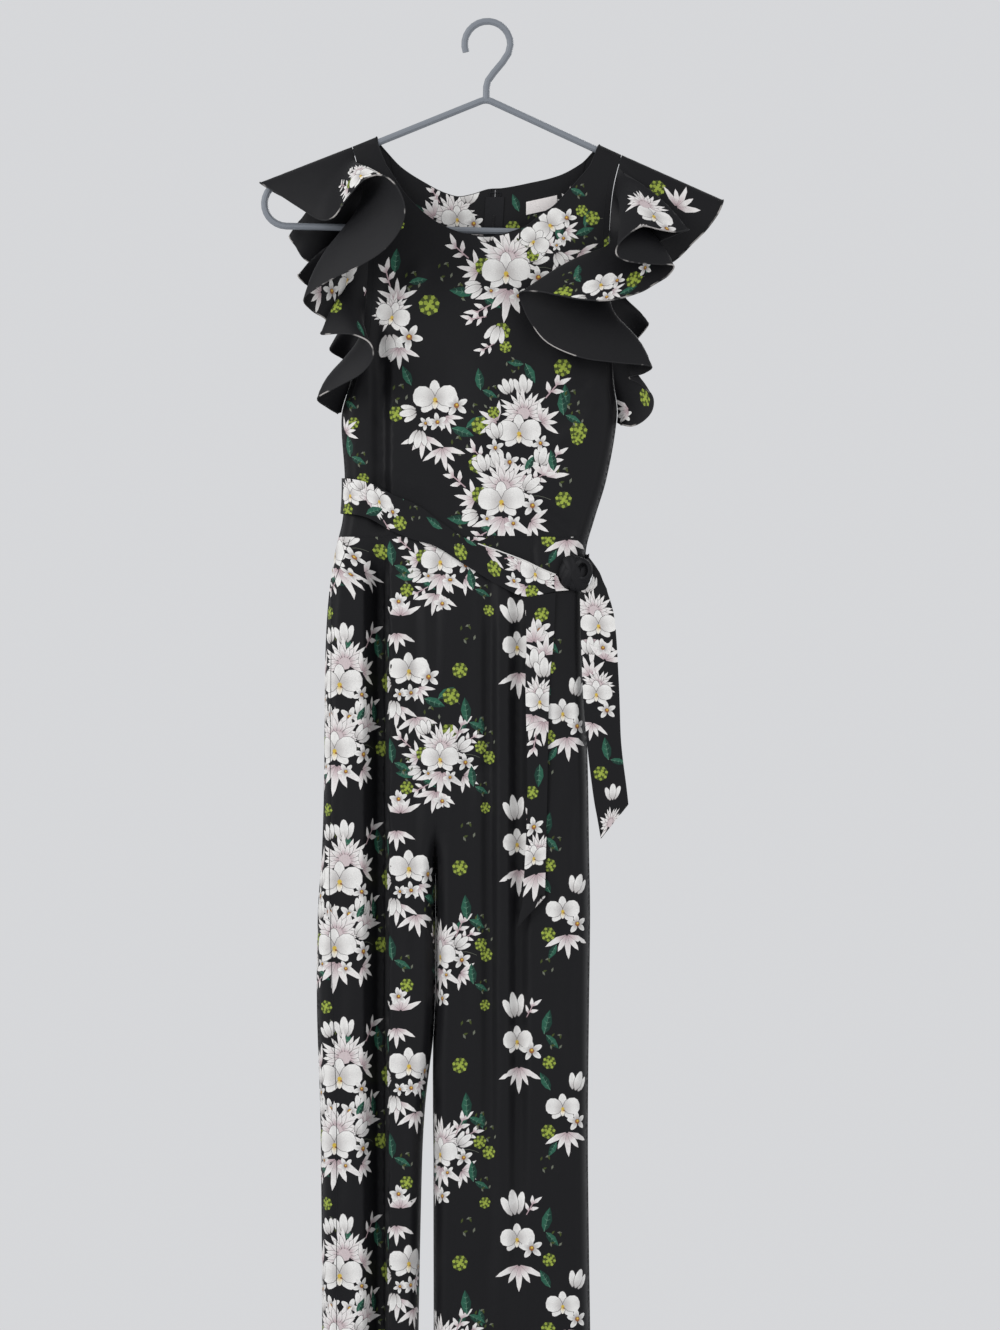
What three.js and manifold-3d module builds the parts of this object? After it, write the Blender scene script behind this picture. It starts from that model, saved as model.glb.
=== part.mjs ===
// A sleeveless jumpsuit with a ruffle down each armhole, hung on a tube hanger.
// Millimetres, +Z up, -Y is the front, the origin is the inner top of the hanger's hook.
// A "drop" is a distance below the origin, so z = -drop.
import * as THREE from 'three';
import Module from 'manifold-3d';
import { mergeVertices } from 'three/addons/utils/BufferGeometryUtils.js';

// Driving dimensions
const CLOTH = 1.2;
const SEAM = 0.3;
const WAIST = 497;
const CROTCH = 770;
const HEM = 1440;
const NECK_POINT = 0.09;
const UNDERARM_LEFT = 375;
const UNDERARM_RIGHT = 385;
const ARM_CLOSE = 75;
const SIDE_ROUND = 13;
const FRONT_DEPTH = 25;
const BACK_DEPTH = 19;
const LEG_FRONT_DEPTH = 34;
const LEG_BACK_DEPTH = 24;
const TUBE_RADIUS = 3.35;
const HANGER_HALF = 212.6;
const HANGER_APEX = 72;
const HANGER_BAR = 200;
const HANGER_BEND = 21.8;
const ARM_SLOPE = 0.432;
const HANGER_TILT = 0.0244;
const SHOULDER_LEVEL = 120;
const ARM_CLEAR = 2.7;
const HOOK_RADIUS = 22.2;
const WRAP = 5.5;
const SWELL_OVER = 320;
const RUFFLE_CLOTH = 1;

// Outline of the hung garment: its left and right edges and its centre line, by drop
const OUTLINE = [
  { drop: 116, left: -132, right: 132, centre: 8 },
  { drop: 160, left: -121, right: 121, centre: 7 },
  { drop: 210, left: -116, right: 117, centre: 4 },
  { drop: 260, left: -117, right: 117, centre: 1 },
  { drop: 310, left: -122, right: 118, centre: -2 },
  { drop: 350, left: -134, right: 122, centre: -8 },
  { drop: 380, left: -142, right: 125, centre: -12 },
  { drop: 440, left: -139, right: 115, centre: -21 },
  { drop: 480, left: -141, right: 103, centre: -29 },
  { drop: 510, left: -148, right: 95, centre: -34 },
  { drop: 560, left: -155, right: 94, centre: -38 },
  { drop: 620, left: -158, right: 94, centre: -42 },
  { drop: 730, left: -159, right: 97, centre: -49 },
  { drop: 800, left: -161, right: 98, centre: -51 },
  { drop: 860, left: -165, right: 99, centre: -51 },
  { drop: 950, left: -166, right: 98, centre: -51.5 },
  { drop: 1043, left: -163, right: 97, centre: -57 },
  { drop: 1106, left: -162, right: 97, centre: -58.5 },
  { drop: 1260, left: -161, right: 99, centre: -60 },
  { drop: HEM, left: -163, right: 102, centre: -61 },
];

// Half the gap between the two legs, by drop
const LEG_GAP = [
  { drop: 116, half: SEAM / 2 },
  { drop: 950, half: SEAM / 2 },
  { drop: 1000, half: 2 },
  { drop: 1043, half: 4 },
  { drop: 1106, half: 5.5 },
  { drop: HEM, half: 9 },
];

// Necklines: share of the width across, and the drop of the cut edge there
const FRONT_NECK = [
  { across: 0.09, drop: 111 },
  { across: 0.095, drop: 116 },
  { across: 0.108, drop: 136 },
  { across: 0.18, drop: 170 },
  { across: 0.315, drop: 197 },
  { across: 0.487, drop: 207 },
  { across: 0.646, drop: 198 },
  { across: 0.724, drop: 184 },
  { across: 0.777, drop: 175 },
  { across: 0.892, drop: 138 },
  { across: 0.905, drop: 121 },
  { across: 0.91, drop: 116 },
];
const BACK_NECK = [
  { across: 0.09, drop: 110 },
  { across: 0.11, drop: 119 },
  { across: 0.165, drop: 138 },
  { across: 0.27, drop: 156 },
  { across: 0.33, drop: 163 },
  { across: 0.38, drop: 166 },
  { across: 0.44, drop: 163.5 },
  { across: 0.5, drop: 159 },
  { across: 0.56, drop: 158 },
  { across: 0.65, drop: 154 },
  { across: 0.78, drop: 146 },
  { across: 0.86, drop: 134 },
  { across: 0.89, drop: 124 },
  { across: 0.91, drop: 116 },
];

// Folds pressed into the front or back: a flank each side of a flat bottom, a shelf left of it
const FRONT_FOLDS = [
  { x: -104, flat: 3, leftFlank: 12, rightFlank: 9, depth: 9, shelf: 3, from: 300, full: 350, fade: 470, to: 497 },
  { x: -106, flat: 5, leftFlank: 16, rightFlank: 7, depth: 30, shelf: 9, from: 497, full: 560, fade: 1500, to: 1600 },
  { x: 1, flat: 1, leftFlank: 11, rightFlank: 9, depth: 6, shelf: 0, from: 505, full: 600, fade: 900, to: 1250 },
  { x: 28, flat: 2, leftFlank: 10, rightFlank: 12, depth: 8, shelf: 0, from: 505, full: 600, fade: 950, to: 1350 },
  { x: -70, flat: 1, leftFlank: 8, rightFlank: 14, depth: 3, shelf: 0, from: 497, full: 560, fade: 700, to: 1000 },
];
const BACK_FOLDS = [
  { x: -112, flat: 3, leftFlank: 15, rightFlank: 12, depth: 10, shelf: 3, from: 480, full: 620, fade: 1500, to: 1600 },
  { x: -76, flat: 1, leftFlank: 10, rightFlank: 12, depth: 4, shelf: 0, from: 497, full: 600, fade: 900, to: 1300 },
  { x: 14, flat: 2, leftFlank: 12, rightFlank: 12, depth: 8, shelf: 0, from: 500, full: 600, fade: 1100, to: 1450 },
  { x: 56, flat: 2, leftFlank: 12, rightFlank: 12, depth: 5, shelf: 0, from: 500, full: 600, fade: 900, to: 1300 },
];

// Free edges of the ruffles. seam: place along the armhole, 0 at the shoulder, 1 at the underarm,
// negative down the back. out: how far the cloth bows up and out between the seam and the edge.
const LEFT_RUFFLE = [
  { seam: -1.0, x: -146, drop: 377, front: -5, out: 0 },
  { seam: -0.94, x: -151, drop: 366, front: -12, out: 2 },
  { seam: -0.86, x: -136, drop: 354, front: -30, out: 3 },
  { seam: -0.78, x: -126, drop: 340, front: -38, out: 4 },
  { seam: -0.7, x: -138, drop: 324, front: -34, out: 4 },
  { seam: -0.63, x: -154, drop: 314, front: -20, out: 4 },
  { seam: -0.57, x: -146, drop: 304, front: -28, out: 5 },
  { seam: -0.5, x: -126, drop: 292, front: -42, out: 6 },
  { seam: -0.44, x: -124, drop: 278, front: -46, out: 6 },
  { seam: -0.38, x: -146, drop: 264, front: -36, out: 7 },
  { seam: -0.34, x: -174, drop: 252, front: -20, out: 8 },
  { seam: -0.31, x: -185, drop: 241, front: -13, out: 8 },
  { seam: -0.29, x: -166, drop: 243, front: -24, out: 8 },
  { seam: -0.26, x: -138, drop: 240, front: -42, out: 8 },
  { seam: -0.23, x: -126, drop: 232, front: -50, out: 8 },
  { seam: -0.2, x: -140, drop: 233, front: -42, out: 8 },
  { seam: -0.17, x: -164, drop: 232, front: -26, out: 8 },
  { seam: -0.15, x: -179, drop: 225, front: -20, out: 8 },
  { seam: -0.13, x: -187, drop: 213, front: -20, out: 8 },
  { seam: -0.11, x: -193, drop: 201, front: -24, out: 8 },
  { seam: -0.09, x: -166, drop: 196, front: -40, out: 8 },
  { seam: -0.07, x: -138, drop: 192, front: -52, out: 7 },
  { seam: -0.055, x: -134, drop: 186, front: -50, out: 6 },
  { seam: -0.043, x: -150, drop: 183, front: -36, out: 6 },
  { seam: -0.03, x: -178, drop: 174, front: -22, out: 5 },
  { seam: -0.018, x: -204, drop: 163, front: -12, out: 3 },
  { seam: -0.008, x: -219, drop: 154.5, front: -5, out: 1 },
  { seam: 0.0, x: -221, drop: 153, front: 0, out: 0 },
  { seam: 0.006, x: -217, drop: 156, front: 5, out: 1 },
  { seam: 0.012, x: -203, drop: 165, front: 12, out: 3 },
  { seam: 0.019, x: -181, drop: 180, front: 21, out: 5 },
  { seam: 0.027, x: -162, drop: 192, front: 30, out: 6 },
  { seam: 0.036, x: -148, drop: 191, front: 42, out: 6 },
  { seam: 0.045, x: -135, drop: 175, front: 54, out: 5 },
  { seam: 0.055, x: -118, drop: 158, front: 66, out: 4 },
  { seam: 0.07, x: -101, drop: 155, front: 76, out: 4 },
  { seam: 0.09, x: -87, drop: 166, front: 83, out: 5 },
  { seam: 0.115, x: -79, drop: 186, front: 85, out: 7 },
  { seam: 0.145, x: -83, drop: 206, front: 83, out: 9 },
  { seam: 0.175, x: -99, drop: 226, front: 77, out: 11 },
  { seam: 0.21, x: -124, drop: 241, front: 67, out: 12 },
  { seam: 0.25, x: -150, drop: 252, front: 55, out: 13 },
  { seam: 0.3, x: -176, drop: 268, front: 41, out: 13 },
  { seam: 0.36, x: -170, drop: 279, front: 29, out: 10 },
  { seam: 0.42, x: -156, drop: 288, front: 24, out: 7 },
  { seam: 0.46, x: -158, drop: 297, front: 27, out: 7 },
  { seam: 0.5, x: -160, drop: 303, front: 36, out: 8 },
  { seam: 0.55, x: -144, drop: 303, front: 46, out: 8 },
  { seam: 0.59, x: -128, drop: 305, front: 54, out: 7 },
  { seam: 0.63, x: -113, drop: 313, front: 58, out: 6 },
  { seam: 0.67, x: -110, drop: 327, front: 58, out: 6 },
  { seam: 0.71, x: -122, drop: 342, front: 52, out: 7 },
  { seam: 0.76, x: -145, drop: 354, front: 42, out: 8 },
  { seam: 0.82, x: -164, drop: 364, front: 30, out: 8 },
  { seam: 0.92, x: -155, drop: 372, front: 16, out: 4 },
  { seam: 1.0, x: -146, drop: 377, front: 5, out: 0 },
];
const RIGHT_RUFFLE = [
  { seam: -1.0, x: 129, drop: 388, front: -5, out: 0 },
  { seam: -0.93, x: 140, drop: 376, front: -14, out: 2 },
  { seam: -0.85, x: 144, drop: 358, front: -22, out: 3 },
  { seam: -0.77, x: 130, drop: 338, front: -34, out: 4 },
  { seam: -0.69, x: 129, drop: 318, front: -36, out: 4 },
  { seam: -0.61, x: 146, drop: 302, front: -24, out: 5 },
  { seam: -0.55, x: 156, drop: 288, front: -16, out: 6 },
  { seam: -0.48, x: 142, drop: 284, front: -32, out: 6 },
  { seam: -0.42, x: 127, drop: 276, front: -46, out: 6 },
  { seam: -0.36, x: 130, drop: 262, front: -46, out: 7 },
  { seam: -0.3, x: 152, drop: 254, front: -34, out: 8 },
  { seam: -0.25, x: 168, drop: 244, front: -26, out: 8 },
  { seam: -0.2, x: 146, drop: 238, front: -46, out: 8 },
  { seam: -0.16, x: 126, drop: 226, front: -60, out: 8 },
  { seam: -0.12, x: 130, drop: 212, front: -62, out: 8 },
  { seam: -0.085, x: 158, drop: 214, front: -46, out: 8 },
  { seam: -0.055, x: 192, drop: 208, front: -28, out: 8 },
  { seam: -0.035, x: 213, drop: 194, front: -17, out: 6 },
  { seam: -0.02, x: 223, drop: 181, front: -10, out: 4 },
  { seam: -0.008, x: 227, drop: 172, front: -5, out: 1 },
  { seam: 0.0, x: 228, drop: 170, front: 0, out: 0 },
  { seam: 0.006, x: 227, drop: 174, front: 5, out: 1 },
  { seam: 0.012, x: 222, drop: 185, front: 8, out: 3 },
  { seam: 0.018, x: 211, drop: 200, front: 11, out: 5 },
  { seam: 0.024, x: 197, drop: 214, front: 13, out: 6 },
  { seam: 0.03, x: 183, drop: 228, front: 15, out: 6 },
  { seam: 0.036, x: 171, drop: 234, front: 19, out: 6 },
  { seam: 0.042, x: 157, drop: 228, front: 25, out: 6 },
  { seam: 0.048, x: 161, drop: 216, front: 31, out: 6 },
  { seam: 0.055, x: 181, drop: 207, front: 37, out: 6 },
  { seam: 0.062, x: 193, drop: 203, front: 42, out: 6 },
  { seam: 0.07, x: 180, drop: 206, front: 48, out: 6 },
  { seam: 0.079, x: 163, drop: 204, front: 54, out: 6 },
  { seam: 0.09, x: 147, drop: 202, front: 61, out: 5 },
  { seam: 0.102, x: 132, drop: 212, front: 67, out: 5 },
  { seam: 0.115, x: 123, drop: 223, front: 71, out: 6 },
  { seam: 0.13, x: 124, drop: 232, front: 73, out: 8 },
  { seam: 0.15, x: 138, drop: 237, front: 70, out: 9 },
  { seam: 0.185, x: 162, drop: 238, front: 60, out: 10 },
  { seam: 0.22, x: 178, drop: 238, front: 48, out: 10 },
  { seam: 0.24, x: 173, drop: 247, front: 43, out: 10 },
  { seam: 0.26, x: 159, drop: 256, front: 45, out: 11 },
  { seam: 0.28, x: 145, drop: 264, front: 50, out: 12 },
  { seam: 0.3, x: 118, drop: 272, front: 58, out: 13 },
  { seam: 0.32, x: 91, drop: 272, front: 62, out: 14 },
  { seam: 0.34, x: 68, drop: 268, front: 62, out: 16 },
  { seam: 0.36, x: 49, drop: 264, front: 58, out: 18 },
  { seam: 0.38, x: 31, drop: 264, front: 50, out: 18 },
  { seam: 0.41, x: 33, drop: 275, front: 42, out: 13 },
  { seam: 0.45, x: 42, drop: 293, front: 40, out: 9 },
  { seam: 0.49, x: 58, drop: 312, front: 43, out: 8 },
  { seam: 0.53, x: 89, drop: 326, front: 49, out: 8 },
  { seam: 0.57, x: 123, drop: 331, front: 50, out: 8 },
  { seam: 0.62, x: 156, drop: 334, front: 42, out: 8 },
  { seam: 0.66, x: 150, drop: 340, front: 32, out: 6 },
  { seam: 0.7, x: 136, drop: 344, front: 26, out: 5 },
  { seam: 0.75, x: 147, drop: 350, front: 26, out: 5 },
  { seam: 0.81, x: 158, drop: 362, front: 29, out: 6 },
  { seam: 0.87, x: 158, drop: 375, front: 29, out: 6 },
  { seam: 0.93, x: 150, drop: 385, front: 24, out: 5 },
  { seam: 0.97, x: 139, drop: 390, front: 15, out: 3 },
  { seam: 1.0, x: 129, drop: 388, front: 5, out: 0 },
];

// Sash belt across the front: share of the width, drops of its upper and lower edges
const BELT_FRONT = [
  { across: 0.0, upper: 440, lower: 474 },
  { across: 0.1, upper: 446, lower: 479 },
  { across: 0.2, upper: 458, lower: 491 },
  { across: 0.3, upper: 468, lower: 500 },
  { across: 0.4, upper: 484, lower: 507 },
  { across: 0.52, upper: 500, lower: 524 },
  { across: 0.66, upper: 512, lower: 544 },
  { across: 0.76, upper: 521, lower: 555 },
  { across: 0.83, upper: 529, lower: 553 },
  { across: 0.9, upper: 536, lower: 549 },
];
const BELT_BACK = [
  { across: 0.0, upper: 440, lower: 474 },
  { across: 0.25, upper: 452, lower: 486 },
  { across: 0.5, upper: 470, lower: 504 },
  { across: 0.75, upper: 492, lower: 526 },
  { across: 1.0, upper: 514, lower: 546 },
];

// Hanging tails of the belt: drop at the left edge, how much higher the right edge is, both edges
const OUTER_TAIL = [
  { drop: 519, rise: 2, left: 94.5, right: 97 },
  { drop: 526, rise: 1, left: 99.2, right: 103 },
  { drop: 533, rise: 0, left: 101, right: 108 },
  { drop: 541, rise: 0, left: 99.2, right: 111 },
  { drop: 547, rise: 0, left: 94.6, right: 114 },
  { drop: 551, rise: 0, left: 89, right: 115 },
  { drop: 579, rise: 0, left: 89, right: 122 },
  { drop: 642, rise: 0, left: 91, right: 126 },
  { drop: 695, rise: 0, left: 95, right: 128 },
  { drop: 745, rise: 8, left: 101, right: 133 },
  { drop: 768, rise: 18, left: 105, right: 134.5 },
  { drop: 788, rise: 33, left: 108.5, right: 135 },
];
const INNER_TAIL = [
  { drop: 556, rise: 4.6, left: 36, right: 65 },
  { drop: 600, rise: 0, left: 37, right: 63 },
  { drop: 642, rise: 0, left: 36, right: 59 },
  { drop: 747, rise: 0, left: 38, right: 57 },
  { drop: 842, rise: 8, left: 33.5, right: 55 },
  { drop: 858, rise: 18, left: 31, right: 55 },
  { drop: 873, rise: 29, left: 28, right: 55 },
];
const TAIL_OFF = 4;

function smooth(t) {
  const c = Math.min(1, Math.max(0, t));
  return c * c * (3 - 2 * c);
}

function mix(a, b, t) {
  return a + (b - a) * t;
}

// Value of one named column of a table at a key, on a smooth curve through the rows
function column(table, key, name, at) {
  const last = table.length - 1;
  if (at <= table[0][key]) return table[0][name];
  if (at >= table[last][key]) return table[last][name];
  let i = 0;
  while (table[i + 1][key] < at) i += 1;
  const slope = (k) => {
    const a = table[Math.max(0, k - 1)];
    const b = table[Math.min(last, k + 1)];
    return (b[name] - a[name]) / (b[key] - a[key]);
  };
  const step = table[i + 1][key] - table[i][key];
  const t = (at - table[i][key]) / step;
  const h1 = t * t * (3 - 2 * t);
  const h2 = t * (1 - t) * (1 - t) * step;
  const h3 = t * t * (t - 1) * step;
  return mix(table[i][name], table[i + 1][name], h1) + h2 * slope(i) + h3 * slope(i + 1);
}

const leftEdge = (drop) => column(OUTLINE, 'drop', 'left', drop);
const rightEdge = (drop) => column(OUTLINE, 'drop', 'right', drop);
const centreLine = (drop) => column(OUTLINE, 'drop', 'centre', drop);
const legGap = (drop) => Math.max(SEAM / 2, column(LEG_GAP, 'drop', 'half', drop));
const acrossX = (across, drop) => mix(leftEdge(drop), rightEdge(drop), across);

// Drop of the cloth where it lies over the hanger's arm
function shoulderDrop(x) {
  const fromStem = Math.abs(x + HANGER_TILT * SHOULDER_LEVEL);
  return HANGER_APEX - TUBE_RADIUS - ARM_CLEAR + ARM_SLOPE * fromStem + HANGER_TILT * x;
}

function foldDepth(folds, x, drop) {
  let total = 0;
  for (const fold of folds) {
    const strength = smooth((drop - fold.from) / (fold.full - fold.from))
      * (1 - smooth((drop - fold.fade) / (fold.to - fold.fade)));
    if (strength === 0) continue;
    const left = smooth((x - fold.x + fold.leftFlank) / fold.leftFlank);
    const right = 1 - smooth((x - fold.x - fold.flat) / fold.rightFlank);
    total += strength * Math.min(mix(fold.shelf, fold.depth, left), fold.depth * right);
  }
  return total;
}

// How far the cloth stands from the middle plane, in front or behind, without its folds
function plainDepth(x, drop, bodice, leg) {
  const below = Math.max(0, drop - shoulderDrop(x));
  const over = below < WRAP ? Math.sqrt(WRAP * WRAP - (WRAP - below) ** 2) : WRAP;
  const swell = (bodice - WRAP) * Math.min(1, Math.max(0, below - WRAP) / SWELL_OVER) ** 0.8;
  return over + swell + (leg - bodice) * smooth((drop - 470) / 130);
}

function rounded(distance) {
  const t = Math.min(1, Math.max(0, distance) / SIDE_ROUND);
  return Math.sqrt(1 - (1 - t) * (1 - t));
}

// Outer surface of the garment, side -1 in front and 1 behind
function surfaceY(side, x, drop, withFolds) {
  const front = side < 0;
  let depth = plainDepth(x, drop, front ? FRONT_DEPTH : BACK_DEPTH, front ? LEG_FRONT_DEPTH : LEG_BACK_DEPTH);
  if (withFolds) depth -= foldDepth(front ? FRONT_FOLDS : BACK_FOLDS, x, drop);
  const underarm = x < 0 ? UNDERARM_LEFT : UNDERARM_RIGHT;
  const closed = smooth((drop - underarm + ARM_CLOSE) / ARM_CLOSE);
  const toSide = Math.min(x - leftEdge(drop), rightEdge(drop) - x);
  depth = mix(depth, mix(SEAM / 2, depth, rounded(toSide)), closed);
  const half = legGap(drop);
  const split = smooth((drop - CROTCH) / 60);
  const toCentre = Math.abs(x - centreLine(drop)) - half;
  if (withFolds) depth = mix(depth, mix(SEAM / 2, depth, rounded(toCentre)), split);
  return side * depth;
}

function panelPoint(side, x, drop) {
  return new THREE.Vector3(x, surfaceY(side, x, drop, true), -drop);
}

// Normals of a grid of points; flat gives the component that is zero along each border,
// as a name or as a function of the drop and the depth there
function gridNormals(grid, flat) {
  const rows = grid.length;
  const cols = grid[0].length;
  return grid.map((line, i) => line.map((point, j) => {
    const down = new THREE.Vector3().subVectors(grid[Math.min(rows - 1, i + 1)][j], grid[Math.max(0, i - 1)][j]);
    const along = new THREE.Vector3().subVectors(line[Math.min(cols - 1, j + 1)], line[Math.max(0, j - 1)]);
    const normal = new THREE.Vector3().crossVectors(down, along);
    const level = (border) => {
      if (border) normal[typeof border === 'function' ? border(-point.z, point.y) : border] = 0;
    };
    if (i === 0) level(flat.top);
    if (i === rows - 1) level(flat.bottom);
    if (j === 0) level(flat.left);
    if (j === cols - 1) level(flat.right);
    return normal.normalize();
  }));
}

// A closed wall of cloth between two grids of points
function wallBetween(outer, inner) {
  const rows = outer.length;
  const cols = outer[0].length;
  const positions = [];
  for (const grid of [outer, inner]) {
    for (const line of grid) for (const p of line) positions.push(p.x, p.y, p.z);
  }
  const at = (layer, i, j) => (layer * rows + i) * cols + j;
  const faces = [];
  const quad = (a, b, c, d) => faces.push(a, b, c, a, c, d);
  for (let i = 0; i < rows - 1; i += 1) {
    for (let j = 0; j < cols - 1; j += 1) {
      quad(at(0, i, j), at(0, i + 1, j), at(0, i + 1, j + 1), at(0, i, j + 1));
      quad(at(1, i, j), at(1, i, j + 1), at(1, i + 1, j + 1), at(1, i + 1, j));
    }
  }
  for (let i = 0; i < rows - 1; i += 1) {
    quad(at(0, i, 0), at(1, i, 0), at(1, i + 1, 0), at(0, i + 1, 0));
    quad(at(0, i, cols - 1), at(0, i + 1, cols - 1), at(1, i + 1, cols - 1), at(1, i, cols - 1));
  }
  for (let j = 0; j < cols - 1; j += 1) {
    quad(at(0, 0, j), at(0, 0, j + 1), at(1, 0, j + 1), at(1, 0, j));
    quad(at(0, rows - 1, j), at(1, rows - 1, j), at(1, rows - 1, j + 1), at(0, rows - 1, j + 1));
  }
  const geometry = new THREE.BufferGeometry();
  geometry.setAttribute('position', new THREE.Float32BufferAttribute(positions, 3));
  geometry.setIndex(faces);
  if (signedVolume(geometry) < 0) {
    const index = geometry.getIndex().array;
    for (let k = 0; k < index.length; k += 3) [index[k + 1], index[k + 2]] = [index[k + 2], index[k + 1]];
  }
  return geometry;
}

function signedVolume(geometry) {
  const position = geometry.getAttribute('position');
  const index = geometry.getIndex();
  const [a, b, c] = [new THREE.Vector3(), new THREE.Vector3(), new THREE.Vector3()];
  let volume = 0;
  for (let k = 0; k < index.count; k += 3) {
    a.fromBufferAttribute(position, index.getX(k));
    b.fromBufferAttribute(position, index.getX(k + 1));
    c.fromBufferAttribute(position, index.getX(k + 2));
    volume += a.dot(b.cross(c)) / 6;
  }
  return volume;
}

// Both faces of a wall, each moved from the middle points along the normals
function wall(grid, outerMove, innerMove, flat = {}) {
  const normals = gridNormals(grid, flat);
  const moved = (by) => grid.map((line, i) => line.map((p, j) => p.clone().addScaledVector(normals[i][j], by)));
  return wallBetween(moved(outerMove), moved(innerMove));
}

const CLOTH_LOOK = { color: 0x1c1c20, roughness: 0.85, metalness: 0 };
const jumpsuit = new THREE.Group();

function addPiece(name, geometry, look) {
  const mesh = new THREE.Mesh(geometry, new THREE.MeshStandardMaterial(look));
  mesh.name = name;
  jumpsuit.add(mesh);
  return mesh;
}

// Panels. The grids' normals point to the front, which is inward on the back.
// A border faces sideways along an armhole or a centre seam, and front to back where a side seam
// or an inseam closes the tube.
const underLeft = (drop) => (drop < UNDERARM_LEFT - ARM_CLOSE / 2 ? 'x' : 'y');
const underRight = (drop) => (drop < UNDERARM_RIGHT - ARM_CLOSE / 2 ? 'x' : 'y');
const underCrotch = (drop) => (drop < CROTCH + 5 ? 'x' : 'y');
const overShoulder = (drop, y) => (Math.abs(y) < SEAM ? 'y' : 'none');

function panelWall(side, grid, flat) {
  const inward = side < 0 ? -CLOTH : CLOTH;
  return wall(grid, 0, inward, flat);
}

// Bodice rows: close together where the cloth goes over the hanger's arm, then even to the waist
const SHOULDER_ROWS = [0, 0.5, 2, 5.5, 14];
const BODICE_ROWS = 10;

function bodiceGrid(side, neck, shares, seamAt) {
  const bottom = WAIST - SEAM / 2;
  const grid = [];
  const total = SHOULDER_ROWS.length + BODICE_ROWS;
  for (let i = 0; i < total; i += 1) {
    grid.push(shares.map((across, j) => {
      const strap = across <= NECK_POINT || across >= 1 - NECK_POINT;
      let top = column(neck, 'across', 'drop', across);
      if (strap) {
        top = 116;
        for (let k = 0; k < 4; k += 1) top = shoulderDrop(acrossX(across, top));
      }
      const wrapEnd = SHOULDER_ROWS[SHOULDER_ROWS.length - 1];
      const down = i < SHOULDER_ROWS.length
        ? SHOULDER_ROWS[i]
        : mix(wrapEnd, bottom - top, (i + 1 - SHOULDER_ROWS.length) / BODICE_ROWS);
      const drop = top + down;
      let x = acrossX(across, drop);
      if (seamAt) x = seamAt(across, drop);
      const point = panelPoint(side, x, drop);
      if (strap && i === 0) point.y = side * SEAM / 2;
      return point;
    }));
  }
  return grid;
}

const FRONT_SHARES = [0, 0.01, 0.035, 0.09, 0.0915, 0.094, 0.098, 0.108, 0.13, 0.17, 0.23, 0.31, 0.4, 0.49, 0.58,
  0.66, 0.74, 0.8, 0.85, 0.892, 0.902, 0.906, 0.9085, 0.91, 0.965, 0.99, 1];
const frontGrid = bodiceGrid(-1, FRONT_NECK, FRONT_SHARES);
const frontBorders = { top: overShoulder, bottom: 'z', left: underLeft, right: underRight };
addPiece('bodice_front', panelWall(-1, frontGrid, frontBorders), CLOTH_LOOK);

// The two back panels stop at the zip, on the garment's centre line
const BACK_SHARES = [0, 0.02, 0.17, 0.178, 0.19, 0.22, 0.31, 0.42, 0.53, 0.63, 0.72, 0.83, 0.93, 1];
const backGrids = {};
for (const [name, hand] of [['bodice_back_left', -1], ['bodice_back_right', 1]]) {
  const zipAt = (drop) => (centreLine(drop) - leftEdge(drop)) / (rightEdge(drop) - leftEdge(drop));
  const seamAt = (across, drop) => {
    const zip = zipAt(drop);
    const reach = hand < 0 ? Math.min(1, across / zipAt(160)) : Math.min(1, (1 - across) / (1 - zipAt(160)));
    const share = hand < 0 ? reach * zip : 1 - reach * (1 - zip);
    return acrossX(share, drop) + (reach === 1 ? hand * SEAM / 2 : 0);
  };
  const shares = BACK_SHARES.map((s) => (hand < 0 ? s * zipAt(160) : 1 - s * (1 - zipAt(160))));
  if (hand > 0) shares.reverse();
  const grid = bodiceGrid(1, BACK_NECK, shares, seamAt);
  const flat = hand < 0
    ? { top: overShoulder, bottom: 'z', left: underLeft, right: 'x' }
    : { top: overShoulder, bottom: 'z', left: 'x', right: underRight };
  addPiece(name, panelWall(1, grid, flat), CLOTH_LOOK);
  backGrids[hand] = grid;
}

// Legs: columns measured from the side, at the folds, spread evenly, and measured from the centre
const LEG_ROWS = [WAIST, 512, 535, 575, 630, 700, 750, 772, 785, 800, 830, 890, 950, 1000, 1043, 1106, 1250, HEM];
const EDGE_COLUMNS = [0, 0.8, 3.5, 8, 13];

function legGrid(side, hand, folds, spread) {
  return LEG_ROWS.map((row) => {
    const drop = row === WAIST ? WAIST + SEAM / 2 : row;
    const half = legGap(drop);
    const inner = centreLine(drop) + hand * half;
    const outer = hand < 0 ? leftEdge(drop) : rightEdge(drop);
    const fromOuter = EDGE_COLUMNS.map((e) => outer - hand * e);
    const fromInner = EDGE_COLUMNS.map((e) => inner + hand * e).reverse();
    const free = [];
    for (let k = 1; k <= spread; k += 1) free.push(mix(folds[folds.length - 1], fromInner[0], k / (spread + 1)));
    const xs = [...fromOuter, ...folds, ...free, ...fromInner];
    if (hand > 0) xs.reverse();
    return xs.map((x) => panelPoint(side, x, drop));
  });
}

for (const [name, side, hand, folds, spread] of [
  ['leg_front_left', -1, -1, [-122, -114, -106, -101, -98.5, -96, -93.5], 2],
  ['leg_front_right', -1, 1, [70, 52, 42, 34, 29, 23, 16, 10, 4, 0, -6, -12], 1],
  ['leg_back_left', 1, -1, [-124, -116, -110, -103, -95], 2],
  ['leg_back_right', 1, 1, [76, 66, 57, 46, 36, 24, 15, 4], 1],
]) {
  const flat = hand < 0
    ? { top: 'z', left: 'y', right: underCrotch }
    : { top: 'z', left: underCrotch, right: 'y' };
  addPiece(name, panelWall(side, legGrid(side, hand, folds, spread), flat), CLOTH_LOOK);
}

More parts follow.
